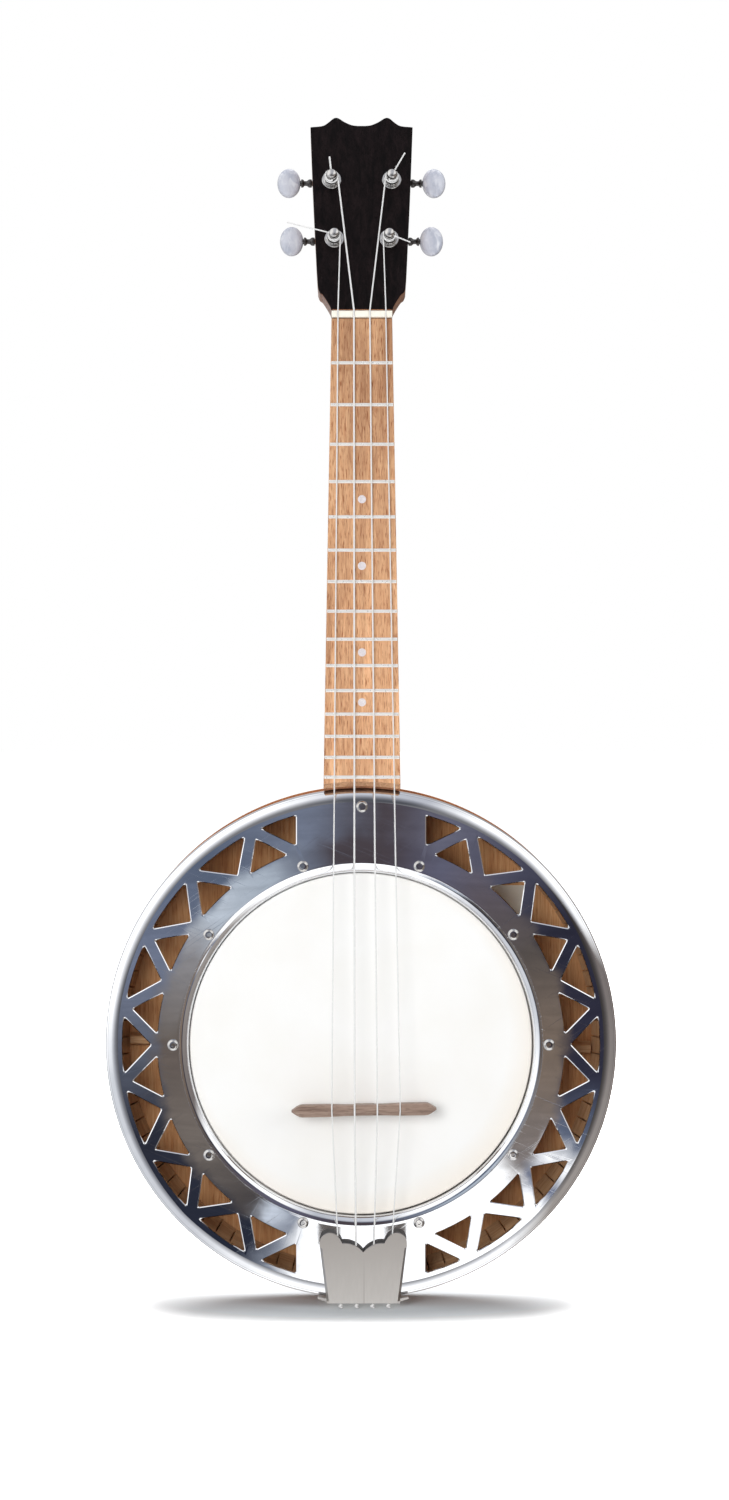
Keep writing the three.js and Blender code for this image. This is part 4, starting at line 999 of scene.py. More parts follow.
side_profile = [(SIDE_IN, 4.1), (SIDE_RADIUS, 4.1), (SIDE_RADIUS, BODY_DEPTH), (SIDE_IN, BODY_DEPTH)]
side = turned("bent_side", rounded(side_profile, 0.4), RING_STEPS)
carve(side, pin_hole())
settle(side, BODY, "side_wood", "side_rim", slot="back_wood")
back = turned("back_board", [
    (0, BODY_DEPTH), (60, BODY_DEPTH), (130, BODY_DEPTH), *arc((SIDE_RADIUS, 44.5), 1, -90, 0, 4),
    *arc((137.9, 44.5), 1.5, 0, 90, 5), (130, BACK_FACE), (60, BACK_FACE), (0, BACK_FACE),
], RING_STEPS)
settle(back, BODY, "back_wood", "back_plate")

low_lining = lining("back_lining_wood", [
    (128.4, BODY_DEPTH), (LINING_OUT, BODY_DEPTH), (LINING_OUT, 29.5), (135, 29.5),
], 20, 50)
settle(low_lining, BODY, "pale_wood", "back_lining")
top_lining = lining("front_lining_wood", [
    (131.5, 13), (LINING_OUT, 13), (LINING_OUT, 1.5), (131.5, 1.5),
], 3.5, 20)
carve(top_lining, screw_holes(24))
settle(top_lining, BODY, "pale_wood", "front_lining")
print("lining:", len(low_lining.data.polygons), "faces")

# %% Blocks, brace and label
BLOCK_IN, BLOCK_OUT = 118.2, 136.1
NOTCHES = (
    [(131.2, 1), (137, 1), (137, 13.3), (131.2, 13.3)],
    [(128.1, 44), (137, 44), (137, 29.2), (134.7, 29.2)],
)


def end_block(name, half, side):
    """A block between plate and back, rounded to the side and notched for the linings."""
    angle = math.degrees(math.asin(half / BLOCK_OUT))
    outline = [(-half, BLOCK_IN), (half, BLOCK_IN), *arc((0, 0), BLOCK_OUT, 90 - angle, 90 + angle, 12)]
    obj = slab(name + "_wood", [(x, z * side) for x, z in outline], 1.6, BODY_DEPTH)
    for profile in NOTCHES:
        carve(obj, turned("notch", profile, 120))
    carve(obj, screw_holes(24) if side > 0 else pin_hole())
    soften(obj, 0.5)
    return settle(obj, BODY, "block_wood", name, slot="pale_wood")


end_block("neck_block", 28, 1)
end_block("tail_block", 24, -1)

brace_section = rounded([(BODY_DEPTH, -4), (BODY_DEPTH, 4), (35.5, 2), (35.5, -2)], 0.9)
brace = bar("back_brace_bar", brace_section, -134, 134)
put(brace, Matrix.Translation((0, 0, -4)) @ Matrix.Rotation(math.radians(1.2), 4, "Y"))
carve(brace, rod("well", 128.1, 0, 60, 180), "INTERSECT")
soften(brace, 0.4)
settle(brace, BODY, "block_wood", "back_brace", slot="pale_wood")

label = slab("paper_label", rounded([(58, 58), (92, 58), (92, 84), (58, 84)], 1), 43.3, 43.48)
edit(label)
bpy.ops.mesh.subdivide(number_cuts=3)
leave()
settle(label, BODY, "paper", slot="bone")
print("sound box pieces:", len(PIECES))

# %% [markdown]
# The tailpiece is folded from one sheet: a face with three lobes that slopes towards the body, two side
# flanges, and a hook round the bottom of the body. Face, flanges and hook are drawn apart and joined, and
# then drilled for the strings and for the end pin, which is a turned screw that holds the hook.

# %% Tailpiece
HOOK_IN, HOOK_OUT, HOOK_DEEP = 140.3, 141.5, 30
TAIL_SLOPE = 0.1489
TAIL_LONG = 40
TAIL_TOP, TAIL_LOW = 23.8, 20
TAIL_FACE = -2.9
SHOULDER_SHARE = 0.78
FOLD = 1.4
HOLE_DEPTH = -0.8
DIAMETERS = [0.75, 1, 0.85, 0.7]
TAIL_HOLES = [1.9 + (i - 1.5) * 8.7 for i in range(4)]
LOBE_SHARES = [
    (1, 0.81), (0.99, 0.895), (0.945, 0.95), (0.865, 0.985), (0.77, 1), (0.655, 0.982), (0.57, 0.94),
    (0.51, 0.885), (0.485, 0.85), (0.42, 0.853), (0.33, 0.848), (0.218, 0.825), (0.1, 0.785), (0, 0.725),
]

lobes = [(x * TAIL_TOP, z * TAIL_LONG) for x, z in curved(LOBE_SHARES[:9], 4) + curved(LOBE_SHARES[9:], 3)]
outline = [(TAIL_LOW - FOLD, 0), (TAIL_TOP - FOLD, TAIL_LONG * SHOULDER_SHARE), *lobes]
face = slab("tailpiece_sheet", both_sides(outline, 1), 0, SHEET)
put(face, Matrix.Translation((0, TAIL_FACE, -HOOK_OUT)) @ Matrix.Rotation(math.atan(TAIL_SLOPE), 4, "X"))
flange_top = TAIL_LONG * SHOULDER_SHARE - HOOK_OUT
flange_front = TAIL_FACE - TAIL_SLOPE * (flange_top + HOOK_OUT)
for end in (-1, 1):
    flange = pushed("flange", [
        (TAIL_LOW - FOLD, TAIL_FACE + 0.5, -HOOK_OUT), (TAIL_TOP - FOLD, flange_front + 0.5, flange_top),
        (TAIL_TOP, -SEAT, flange_top), (TAIL_LOW, -SEAT, -HOOK_OUT),
    ], (-SHEET, 0, 0))
    ear = slab("ear", [
        (TAIL_LOW - 1, -HOOK_OUT + 0.1), (TAIL_LOW + 5, -HOOK_OUT + 2), (TAIL_LOW + 4.6, -HOOK_OUT + 2.9),
        (TAIL_LOW - 1, -HOOK_OUT + 1.9),
    ], 0, 6)
    for part in (flange, ear):
        if end < 0:
            put(part, Matrix.Scale(-1, 4, (1, 0, 0)))
        carve(face, part, "UNION")
hook = [(TAIL_FACE, -HOOK_OUT), (HOOK_DEEP, -HOOK_OUT), (HOOK_DEEP, -HOOK_IN), (TAIL_FACE, -HOOK_IN)]
carve(face, bar("hook", hook, -TAIL_LOW, TAIL_LOW), "UNION")
moved(face, x=TAIL_X)
for x, diameter in zip(TAIL_HOLES, DIAMETERS):
    carve(face, crosswise(rod("hole", diameter / 2 + 0.35, -150, -130, 16), x, HOLE_DEPTH))
carve(face, pin_hole())
soften(face, 0.3, 3, 50)
settle(face, BODY, "satin_steel", "tailpiece")

pin = turned("end_pin_turned", [
    (0, -144.5), (2.4, -144.5), *arc((2.9, -142.9), 1.6, -90, 0, 6), (4.5, -141.9), (4.4, -141.5), (2, -141.5),
    (2, -120.5), (1, -119.5), (0, -119.5),
], 32)
settle(pin, BODY @ Matrix.Translation((TAIL_X, PIN_DEPTH, 0)) @ Z_UP, "bright_screw", "end_pin")
print("tailpiece:", len(face.data.polygons), "faces")

# %% [markdown]
# The neck's cross section keeps its shape and only grows, so it can be pushed out from the nut step by
# step and stretched at each step. Near the body it sinks into the heel. The headstock is a slab with
# a drawn outline, joined on at its angle, and the body's own curves are then cut out of the heel.

# %% Neck
BOARD_LONG = 251.607
NUT_WIDE, BOARD_WIDE = 33, 41.8
NECK_TOP, NECK_LOW, NECK_START = 14, 17.5, 4.6
HEEL_TALL, HEEL_LONG = 30, 34
HEAD_HALF, HEAD_LONG, HEAD_THICK = 28.2, 113, 12.5
SLEEVE_HOLE = 4.5
NECK_BACK = FRETBOARD_THICK + SEAT
HEEL_SHARES = [(1, 0), (0.8, 0.04), (0.6, 0.12), (0.4, 0.3), (0.22, 0.62), (0.08, 0.9), (0, 1)]
HEAD_FOOT_SHARES = [(0.589, 0), (0.62, 0.024), (0.748, 0.078), (0.81, 0.092), (0.845, 0.113)]
HEAD_SIDE_SHARES = [(0.87, 0.2), (0.929, 0.507), (0.957, 0.667)]
HEAD_CREST_SHARES = [
    (1, 0.95), (0.77, 0.956), (0.66, 0.972), (0.56, 0.994), (0.496, 1), (0.43, 0.994), (0.33, 0.977),
    (0.19, 0.961), (0.07, 0.957),
]
TUNERS = {
    "lower_left": (1, 15, 41.403, 38.6), "upper_left": (1, 16.5, 75.902, 40.2),
    "upper_right": (-1, 16.5, 75.902, 40.2), "lower_right": (-1, 15, 41.403, 38.6),
}


def along(z, start, end):
    """A size that grows evenly from the nut to the end of the board."""
    return start + (end - start) * (min(max(-z, 0), BOARD_LONG) / BOARD_LONG)


def half_width(z):
    return along(z, NUT_WIDE, BOARD_WIDE) / 2


def neck_depth(z):
    return along(z, NECK_TOP, NECK_LOW)


def head_outline(edge):
    """The headstock's outline: straight sides and smooth curves at its foot and along its top."""
    shares = curved(HEAD_FOOT_SHARES, 4) + HEAD_SIDE_SHARES + curved(HEAD_CREST_SHARES, 3)
    return both_sides([(x * HEAD_HALF, max(z * HEAD_LONG, edge)) for x, z in shares])


def sleeve_holes():
    return joined("sleeves", *[moved(rod("hole", SLEEVE_HOLE, -10, 20, 32), x=-side * x, z=rise)
                               for side, x, rise, _ in TUNERS.values()])


stations = [(z, neck_depth(z)) for z in (0, -40, -80, -120, -160, -200)]
for share, way in curved(HEEL_SHARES, 4):
    z = -BOARD_LONG + share * HEEL_LONG
    stations.append((z, neck_depth(z) + (HEEL_TALL - NECK_LOW) * way))
stations.append((-BOARD_LONG - 10, HEEL_TALL))
section = []
for i in range(37):
    a = math.pi * i / 36
    section.append((NUT_WIDE / 2 * math.cos(a), NECK_BACK + NECK_TOP * math.sin(a) ** 0.82, NECK_START))
neck = draw("neck_wood_carved", section)
edit(neck)
last_z, last_half, last_depth = NECK_START, NUT_WIDE / 2, NECK_TOP
for z, depth in stations:
    push((0, 0, z - last_z))
    resize((half_width(z) / last_half, depth / last_depth, 1), (0, NECK_BACK, 0))
    last_z, last_half, last_depth = z, half_width(z), depth
leave()
tidy(neck)
head = slab("head", head_outline(0), 0, HEAD_THICK)
carve(head, sleeve_holes())
soften(head, 0.8, 3, 50)
put(head, HEAD_IN_NECK)
carve(neck, head, "UNION")
body_from_neck = NECK.inverted() @ BODY
for radius, front, back in ((140.3, -10, 8.3), (138.8, 0, 87), (139.8, 43.2, 87)):
    carve(neck, put(rod("body_curve", radius, front, back, RING_STEPS), body_from_neck))
settle(neck, NECK, "neck_wood", "neck", angle=30)
print("neck:", len(neck.data.polygons), "faces")

# %% [markdown]
# The fretboard is a tapering board whose end is cut to the curve of the body. Fret wires with a round
# crown lie across it, each a little shorter than the board is wide, with its ends filed at a slant. Four
# white dots are let in between the frets.

# %% Fretboard, frets and dots
SCALE = 430
FRETS = 15
DOTS_BEFORE = (5, 7, 10, 12)
BOARD_SPARE = 8
DOT = 2.25


def fret_place(number):
    return -SCALE * (1 - 2 ** (-number / 12))


board_end = BOARD_LONG + BOARD_SPARE
end_half = half_width(-BOARD_LONG) + (BOARD_WIDE - NUT_WIDE) / BOARD_LONG * (BOARD_SPARE / 2)
board = slab("fretboard_wood_board", [
    (NUT_WIDE / 2, 0), (end_half, -board_end), (-end_half, -board_end), (-NUT_WIDE / 2, 0),
], 0, FRETBOARD_THICK)
bowl = turned("bowl", [(0, -9.5), (147, -9.5), (138, 5.5), (0, 5.5)], 360)
carve(board, put(bowl, body_from_neck))
soften(board, 0.45, 3, 50)
settle(board, NECK, "fretboard_wood", "fretboard", angle=30)

for number in range(1, FRETS + 1):
    z = fret_place(number)
    crown = [(y * 0.98, z + w) for w, y in arc((0, 0), 1, 180, 360, 10)]
    tang = [(0.02, z + 0.35), (1.6, z + 0.25), (1.6, z - 0.25), (0.02, z - 0.35)]
    half = half_width(z) - SEAT
    fret = bar(f"fret_{number:02d}", crown + tang, -half, half)
    soften(fret, 0.3, 2, 60)
    settle(fret, NECK, "fret_metal", slot="satin_steel")

for number in DOTS_BEFORE:
    z = (fret_place(number) + fret_place(number - 1)) / 2
    edge = arc((DOT - 0.1, 0.06), 0.1, -90, 0, 3)
    dot = turned(f"dot_{number:02d}", [(0, -0.04), (1.9, -0.04), *edge, (DOT, 1), (0, 1)], 40)
    settle(dot, NECK @ Matrix.Translation((0, 0, z)), "inlay_pearl", slot="pearl")
print("frets:", FRETS, "dots:", len(DOTS_BEFORE))

# %% [markdown]
# The nut is a bar with a rounded section and four slots as wide as their strings. A thin veneer shows
# behind it. The headstock's black face is a thin slab with the headstock's own outline and holes.

# %% Nut, its veneer and the headstock overlay
NUT_XS = [(i - 1.5) * 8.67 for i in range(4)]
OVERLAY_FACE = 1.8
nut_section = rounded([(-1.6, 0.35), (-1.6, 4.25), (5, 4.25), (5, 0.35)], 1.1)
nut = bar("nut_bone", nut_section, -NUT_WIDE / 2, NUT_WIDE / 2)
for x, diameter in zip(NUT_XS, DIAMETERS):
    half = diameter / 2 + 0.2
    slot = [(x - half, -3), (x + half, -3), (x + half, -1.35), (x, -1.1), (x - half, -1.35)]
    carve(nut, pushed("slot", [(px, py, -1) for px, py in slot], (0, 0, 7)))
soften(nut, 0.25, 2, 60)
settle(nut, NECK, "bone", "nut")

veneer = bar("nut_veneer", rounded([(-0.9, 4.33), (-0.9, 4.85), (5.2, 4.55), (5.2, 4.33)], 0.1), -16.2, 16.2)
settle(veneer, NECK, "neck_wood")

overlay = slab("headstock_face", head_outline(SEAT), -OVERLAY_FACE, -SEAT)
carve(overlay, sleeve_holes())
soften(overlay, 0.35, 3, 50)
settle(overlay, HEAD, "ebony", "headstock_overlay")
print("overlay:", len(overlay.data.polygons), "faces")

# %% [markdown]
# The bridge is a long bar with a ridged roof, pointed ends and a narrow waist, on three feet. Its section
# is pushed out from tip to tip and stretched at each step, and four small notches take the strings.

# %% Bridge
BRIDGE_HALF = 39.3
BRIDGE_TOP = -16
BRIDGE_Z, BRIDGE_SHIFT, BRIDGE_TILT = -34.04, 1.5, math.radians(1)
BRIDGE_XS = [2.6 + (i - 1.5) * 12.35 for i in range(4)]
FOOT_XS = (-29.08, 0, 29.08)
REACHES = both_sides([
    (-BRIDGE_HALF, 0.375), (-38.4, 0.95), (-36.7, 2.1), (-34.8, 3.05), (-33.4, 3.25), (-20, 3.25), (-16, 3.12),
    (-11, 2.9), (-7, 2.85), (0, 2.85),
], 1)
roof, low = BRIDGE_TOP + 1.4, BRIDGE_TOP + 7.4
eaves = roof + 0.25
section = rounded([
    (low, -1), (low, 1), (eaves, 1), (BRIDGE_TOP, 0.12), (BRIDGE_TOP, -0.12), (eaves, -1),
], 0.12, 2)
bridge = draw("bridge_wood_bar", [(-BRIDGE_HALF, y, z * REACHES[0][1]) for y, z in section])
edit(bridge)
for (last_x, last_reach), (x, reach) in zip(REACHES, REACHES[1:]):
    push((x - last_x, 0, 0))
    resize((1, 1, reach / last_reach))
leave()
tidy(bridge)
for x in FOOT_XS:
    foot = [(x - 5.5, 3.7), (x - 5.5, 1.2), (x - 4.2, -3), (x - 5.2, low - 1),
            (x + 5.2, low - 1), (x + 4.2, -3), (x + 5.5, 1.2), (x + 5.5, 3.7)]
    leg = pushed("leg", [(px, py, -1.5) for px, py in rounded(foot, 2.2, 4)], (0, 0, 3))
    carve(bridge, leg, "UNION")
put(bridge, Matrix.Translation((BRIDGE_SHIFT, 0, BRIDGE_Z)) @ Matrix.Rotation(-BRIDGE_TILT, 4, "Y"))
for x, diameter in zip(BRIDGE_XS, DIAMETERS):
    half = diameter / 2 + 0.25
    corners = [(x - half, -8), (x + half, -8), (x + half, 8), (x - half, 8)]
    notch = slab("notch", corners, -18, BRIDGE_TOP + 0.45)
    carve(bridge, moved(notch, z=BRIDGE_Z))
soften(bridge, 0.12, 2, 50)
settle(bridge, BODY, "bridge_wood", "bridge", angle=30)
print("bridge:", len(bridge.data.polygons), "faces")

# %% [markdown]
# Each tuner turns a post through a worm and a gear. The post stands in a stepped chrome bushing, the
# plate with its two ears is screwed to the back of the headstock, and the pearl button is on the worm's
# shaft. All pieces are drawn for the left side about the post's axis and mirrored for the right side.

# %% Tuner sizes
POST_NECK, STRING_HOLE, WINDING_END = 2.6, 7.1, 3.6
GEAR_PITCH, WORM_PITCH, GEAR_TEETH = 4, 2.4, 14
LEAD = FULL_TURN * GEAR_PITCH / GEAR_TEETH
WORM_DEPTH = HEAD_THICK + 5.5
WORM_RISE = GEAR_PITCH + WORM_PITCH
BUTTON_HALF, BUTTON_FAT, BUTTON_TALL_SHARE, BUTTON_FULLNESS = 6.45, 3.5, 16.9 / 12.9, 0.8
TAILS = [24, 8.2, 12.3, 9.9]
TAIL_ANGLES = [165.4, 96, 119, 203]
X_ALONG = Matrix.Rotation(-math.pi / 2, 4, "Z")


def tuner_frame(side, x, rise):
    place = HEAD @ Matrix.Translation((-side * x, 0, rise))
    return place @ Matrix.Scale(-1, 4, (1, 0, 0)) if side < 0 else place


def at_worm(obj):
    return moved(obj, y=WORM_DEPTH, z=WORM_RISE)


def height_point(radius, degrees, height):
    """A point beside the post, at a height over the headstock's black face."""
    x, z = polar(radius, degrees)
    return Vector((x, -OVERLAY_FACE - height, z))


print("one turn of the worm moves the gear by", round(LEAD, 3), "mm")

# %% [markdown]
# The parts that stay still are made once and copied to the four places. The base plate is a bent sheet
# with riveted corners, so its ears and rivets are joined on, and one rod drills both of the shaft's
# bearings at once. The bushing is turned.

# %% Tuner plates and bushings
BASE_HALF, BASE_LONG, BASE_FRONT, BASE_BACK = 10, 17, 12.8, 14
EAR_INSIDE, EAR_HALF, EAR_TOP = 4.2, 4, 22
RIVET = [(0, 13.6), (1.5, 13.6), (1.5, 14.1), (1.2, 14.5), (0.7, 14.75), (0, 14.8)]


def tuner_plate(name):
    low = WORM_RISE / 2 - BASE_LONG / 2
    high = low + BASE_LONG
    corners = rounded([(-BASE_HALF, low), (BASE_HALF, low), (BASE_HALF, high), (-BASE_HALF, high)], 1.6)
    sheet = slab(name, corners, BASE_FRONT, BASE_BACK)
    bottom, top = WORM_RISE - EAR_HALF, WORM_RISE + EAR_HALF
    for end in (-1, 1):
        ear = rounded([(13.4, bottom), (EAR_TOP, bottom), (EAR_TOP, top), (13.4, top)], 1.8)
        carve(sheet, bar("ear", ear, EAR_INSIDE * end, EAR_INSIDE * end + SHEET * end), "UNION")
    carve(sheet, put(rod("hole", 1.7, -9, 9, 24), Matrix.Translation((0, WORM_DEPTH, WORM_RISE)) @ X_ALONG))
    carve(sheet, rod("hole", 3.2, 5, 20, 32))
    for x in (-7.6, 7.6):
        for z in (low + 2.4, low + 14.6):
            carve(sheet, moved(turned("rivet", RIVET, 20), x=x, z=z), "UNION")
    return soften(sheet, 0.2, 2, 60)


def bushing(name):
    """A collar with a broad flange, a step and a long sleeve through the headstock."""
    back = -OVERLAY_FACE - SEAT
    front = back - 2.5
    return turned(name, [
        (3.2, front + 0.25), (3.45, front), (3.95, front), (4.15, front + 0.2), (4.15, back - 1.0),
        (4.3, back - 0.86), (5.1, back - 0.84), (5.32, back - 0.6), (5.35, back), (4.2, back),
        (4.2, back + 11), (3.2, back + 11),
    ], 48)


bushing_model = bushing("bushing")
plate_model = tuner_plate("tuner_plate")
for tuner, (side, x, rise, _) in TUNERS.items():
    place = tuner_frame(side, x, rise)
    settle(copied(plate_model, tuner + "_base"), place, "black_metal", tuner + "_tuner_plate")
    settle(copied(bushing_model, tuner + "_collar"), place, "bright_screw", tuner + "_bushing")
print("tuner plate:", len(plate_model.data.polygons), "faces")
for model in (bushing_model, plate_model):
    bpy.data.objects.remove(model)

# %% [markdown]
# The worm's thread is the outline of one ridge, carried round the shaft and along it at once by the screw
# tool. The gear's teeth are an outline that is turned a little as it is pushed out, so that they slant
# as the thread does. The button is turned as a round plate, full at its edge, and stretched to an oval.

# %% Worm shaft, button, gear and post
def worm_shaft(name, button_x, x):
    root, crest = WORM_PITCH - 0.5, WORM_PITCH + 0.5
    wide, narrow = 0.48 * LEAD / 2, 0.2 * LEAD / 2
    ridge = [(-LEAD / 2, root), (-wide, root), (-narrow, crest),
             (narrow, crest), (wide, root), (LEAD / 2, root)]
    start = -3 * LEAD + LEAD / 4
    thread = draw(name, [(start + px, radius, 0) for px, radius in ridge], fill=False)
    edit(thread)
    bpy.ops.mesh.screw(steps=24, turns=6, center=ORIGIN, axis=(-1, 0, 0))
    bpy.ops.mesh.remove_doubles(threshold=MERGE)
    bpy.ops.mesh.select_all(action="SELECT")
    bpy.ops.mesh.fill_holes(sides=0)
    leave()
    tidy(thread)
    barrel = turned("barrel", [(0, -3.6), (1.9, -3.6), (2.95, -2.6), (2.95, 2.6), (1.9, 3.6), (0, 3.6)], 48)
    carve(thread, put(barrel, X_ALONG), "INTERSECT")
    edge = button_x - x - BUTTON_HALF
    first, last = -edge + 6.3, -edge + 2.3
    inner_ring = [(2.1, first - 0.05), (2.3, first - 0.5), (2.3, first - 1.5), (2.05, first - 2),
                  (1.5, first - 2.7), (1.35, first - 3.2)]
    outer_ring = [(1.5, last - 0.3), (2.1, last - 0.8), (2.3, last - 1.2),
                  (2.3, -edge + 0.5), (2.15, -edge + 0.3)]
    shaft = turned("shaft", [
        (0, 6), (1.3, 6), (1.5, 5.8), (1.5, first), *curved(inner_ring, 3), (1.35, last - 0.1),
        *curved(outer_ring, 3), (1.5, -edge + 0.3), (1.5, -edge - 4), (0, -edge - 4),
    ], 32)
    return at_worm(carve(thread, put(shaft, X_ALONG), "UNION"))


def button(name, button_x, x):
    """An oval plate with full, rounded edges, bored from its inner side for the shaft."""
    edge = [(BUTTON_HALF * math.sin(a) ** BUTTON_FULLNESS, -BUTTON_FAT * math.cos(a) ** BUTTON_FULLNESS)
            for a in quarter(12)[:-1]] + [(BUTTON_HALF, 0)]
    obj = turned(name, edge + [(radius, -depth) for radius, depth in edge[:-1][::-1]], 64)
    edit(obj)
    resize((1, 1, BUTTON_TALL_SHARE))
    leave()
    moved(obj, x=x - button_x)
    reach = button_x - x - BUTTON_HALF
    return at_worm(carve(obj, put(rod("bore", 1.65, -reach - 4.3, 0, 32), X_ALONG)))


def gear(name):
    """Fourteen slanting teeth round a bore for the post."""
    front, thick = WORM_DEPTH - 1.7, 3.4
    slant = LEAD / (FULL_TURN * WORM_PITCH * GEAR_PITCH) * thick / 2
    root, shoulder, crest = 3.38, 4.35, 4.5
    wide, narrow = 0.56 * 180 / GEAR_TEETH, 0.24 * 180 / GEAR_TEETH
    outline = []
    for i in range(GEAR_TEETH):
        middle = 90 + 360 * (i + 0.5) / GEAR_TEETH + math.degrees(slant)
        outline += [polar(root, middle - wide), polar(shoulder, middle - narrow * 1.25),
                    polar(crest, middle - narrow * 0.6), polar(crest, middle + narrow * 0.6),
                    polar(shoulder, middle + narrow * 1.25), polar(root, middle + wide)]
    obj = draw(name, [(x, front, z) for x, z in outline])
    edit(obj)
    push((0, thick, 0))
    bpy.ops.transform.rotate(value=-2 * slant, orient_axis="Y", center_override=ORIGIN)
    leave()
    carve(tidy(obj), rod("bore", 2.2, 0, 40, 32))
    return soften(obj, 0.08, 1, 60)


def post(name, index):
    """A capstan with a waist and a cap, cross drilled for its string and slotted at the back."""
    face = -OVERLAY_FACE
    neck_end, tip = face - 8.1, face - 10.6
    obj = turned(name, [
        (0, 20.3), (1.7, 20.3), (2, 20), (2, 14.3), (3, 14.3), (3, face - 2.8), (2.85, face - 3.0),
        (2.6, face - 3.1), (2.6, neck_end), (2.72, neck_end - 0.12), (2.85, neck_end - 0.3),
        (2.8, neck_end - 0.9), (2.5, tip + 0.75), (2.05, tip + 0.35), (1.4, tip + 0.1), (0.7, tip), (0, tip),
    ], 48)
    ends = [height_point(5, TAIL_ANGLES[index] + turn, STRING_HOLE) for turn in (0, 180)]
    carve(obj, wire("hole", ends, DIAMETERS[index] / 2 + 0.3, 16))
    return carve(obj, slab("slot", [(-2.5, -0.3), (2.5, -0.3), (2.5, 0.3), (-2.5, 0.3)], 19.6, 21))


gear_model = gear("gear")
for index, (tuner, (side, x, rise, button_x)) in enumerate(TUNERS.items()):
    place = tuner_frame(side, x, rise)
    button_body, post_body = tuner + "_button_body", tuner + "_post_body"
    worm = worm_shaft(tuner + "_worm", button_x, x)
    settle(worm, place, "black_metal", tuner + "_worm_shaft", body=button_body)
    settle(button(tuner + "_pearl", button_x, x), place, "pearl", tuner + "_button", body=button_body)
    settle(post(tuner + "_capstan", index), place, "bright_screw", tuner + "_post", body=post_body)
    settle(copied(gear_model, tuner + "_wheel"), place, "brass", tuner + "_gear", body=post_body)
bpy.data.objects.remove(gear_model)
print("worm:", len(worm.data.polygons), "faces")

# %% [markdown]
# A string's end stands out of its post's hole, crosses the post, bends down and winds round it. That
# route is worked out for the left side, like the tuner, and mirrored. It ends where the straight string
# from the nut meets the winding.

# %% Windings
NUT_DEPTHS = [0.5 - 1.6 - SEAT - diameter / 2 for diameter in DIAMETERS]
NUT_ENTRY, NUT_EXIT = 0.3, 4.3
ELBOW, ELBOW_STEPS = 0.6, 6
LEAST_SWEEP = 540
STEP_DEGREES = 7
FIRST_DROP = 1.5


def nut_exit(index, side, x, rise):
    point = HEAD_IN_NECK.inverted() @ Vector((NUT_XS[index], NUT_DEPTHS[index], NUT_EXIT))
    return Vector((point.x * side + x, point.y, point.z - rise))


def winding_radius(index):
    return POST_NECK + SEAT + DIAMETERS[index] / 2


def tangent_angle(index, side, x, rise):
    """Where the straight string meets the winding, on the post's inner side."""
    start = nut_exit(index, side, x, rise)
    reach = math.hypot(start.x, start.z)
    return math.degrees(math.atan2(start.z, start.x) + math.acos(winding_radius(index) / reach))


def winding_route(index, side, x, rise):
    radius = winding_radius(index)
    tail = TAIL_ANGLES[index]
    leaving = tail + 180
    sweep = (leaving - tangent_angle(index, side, x, rise)) % 360
    while sweep < LEAST_SWEEP:
        sweep += 360
    reaches = (TAILS[index] + POST_NECK, POST_NECK)
    points = [height_point(reach, tail, STRING_HOLE) for reach in reaches]
    outward, sideways = height_point(1, leaving, 0), height_point(1, leaving - 90, 0)
    outward.y = sideways.y = 0
    for i in range(ELBOW_STEPS):
        turn = math.pi / 2 * i / ELBOW_STEPS
        point = outward * (radius - ELBOW + ELBOW * math.sin(turn)) + sideways * ELBOW * (1 - math.cos(turn))
        points.append(Vector((point.x, -OVERLAY_FACE - STRING_HOLE, point.z)))
    first = math.degrees(math.atan2(ELBOW, radius))
    steps = int((sweep - first) / STEP_DEGREES)
    for i in range(steps + 1):
        turn = first + (sweep - first) * i / steps
        later = max(turn - 180, 0) / (sweep - 180)
        drop = FIRST_DROP * min(turn, 180) / 180 + (STRING_HOLE - WINDING_END - FIRST_DROP) * later
        points.append(height_point(radius, leaving - turn, STRING_HOLE - drop))
    return points


for index, (tuner, (side, x, rise, _)) in enumerate(TUNERS.items()):
    coil = wire(tuner + "_coil", winding_route(index, side, x, rise), DIAMETERS[index] / 2 * 1.02, 12)
    settle(coil, tuner_frame(side, x, rise), "string_nylon", tuner + "_winding",
           body=tuner + "_post_body", angle=50)
print("last winding:", len(coil.data.polygons), "faces")

# %% [markdown]
# The straight strings run from a knot behind the tailpiece through its hole, over the bridge and through
# the nut to the point where they meet their windings. A knot is a small loop with two turns.

# %% Strings
KNOT_Z, STRING_START = -143.25, -143.8
KNOT_RADIUS, KNOT_THICK = 0.75, 0.5

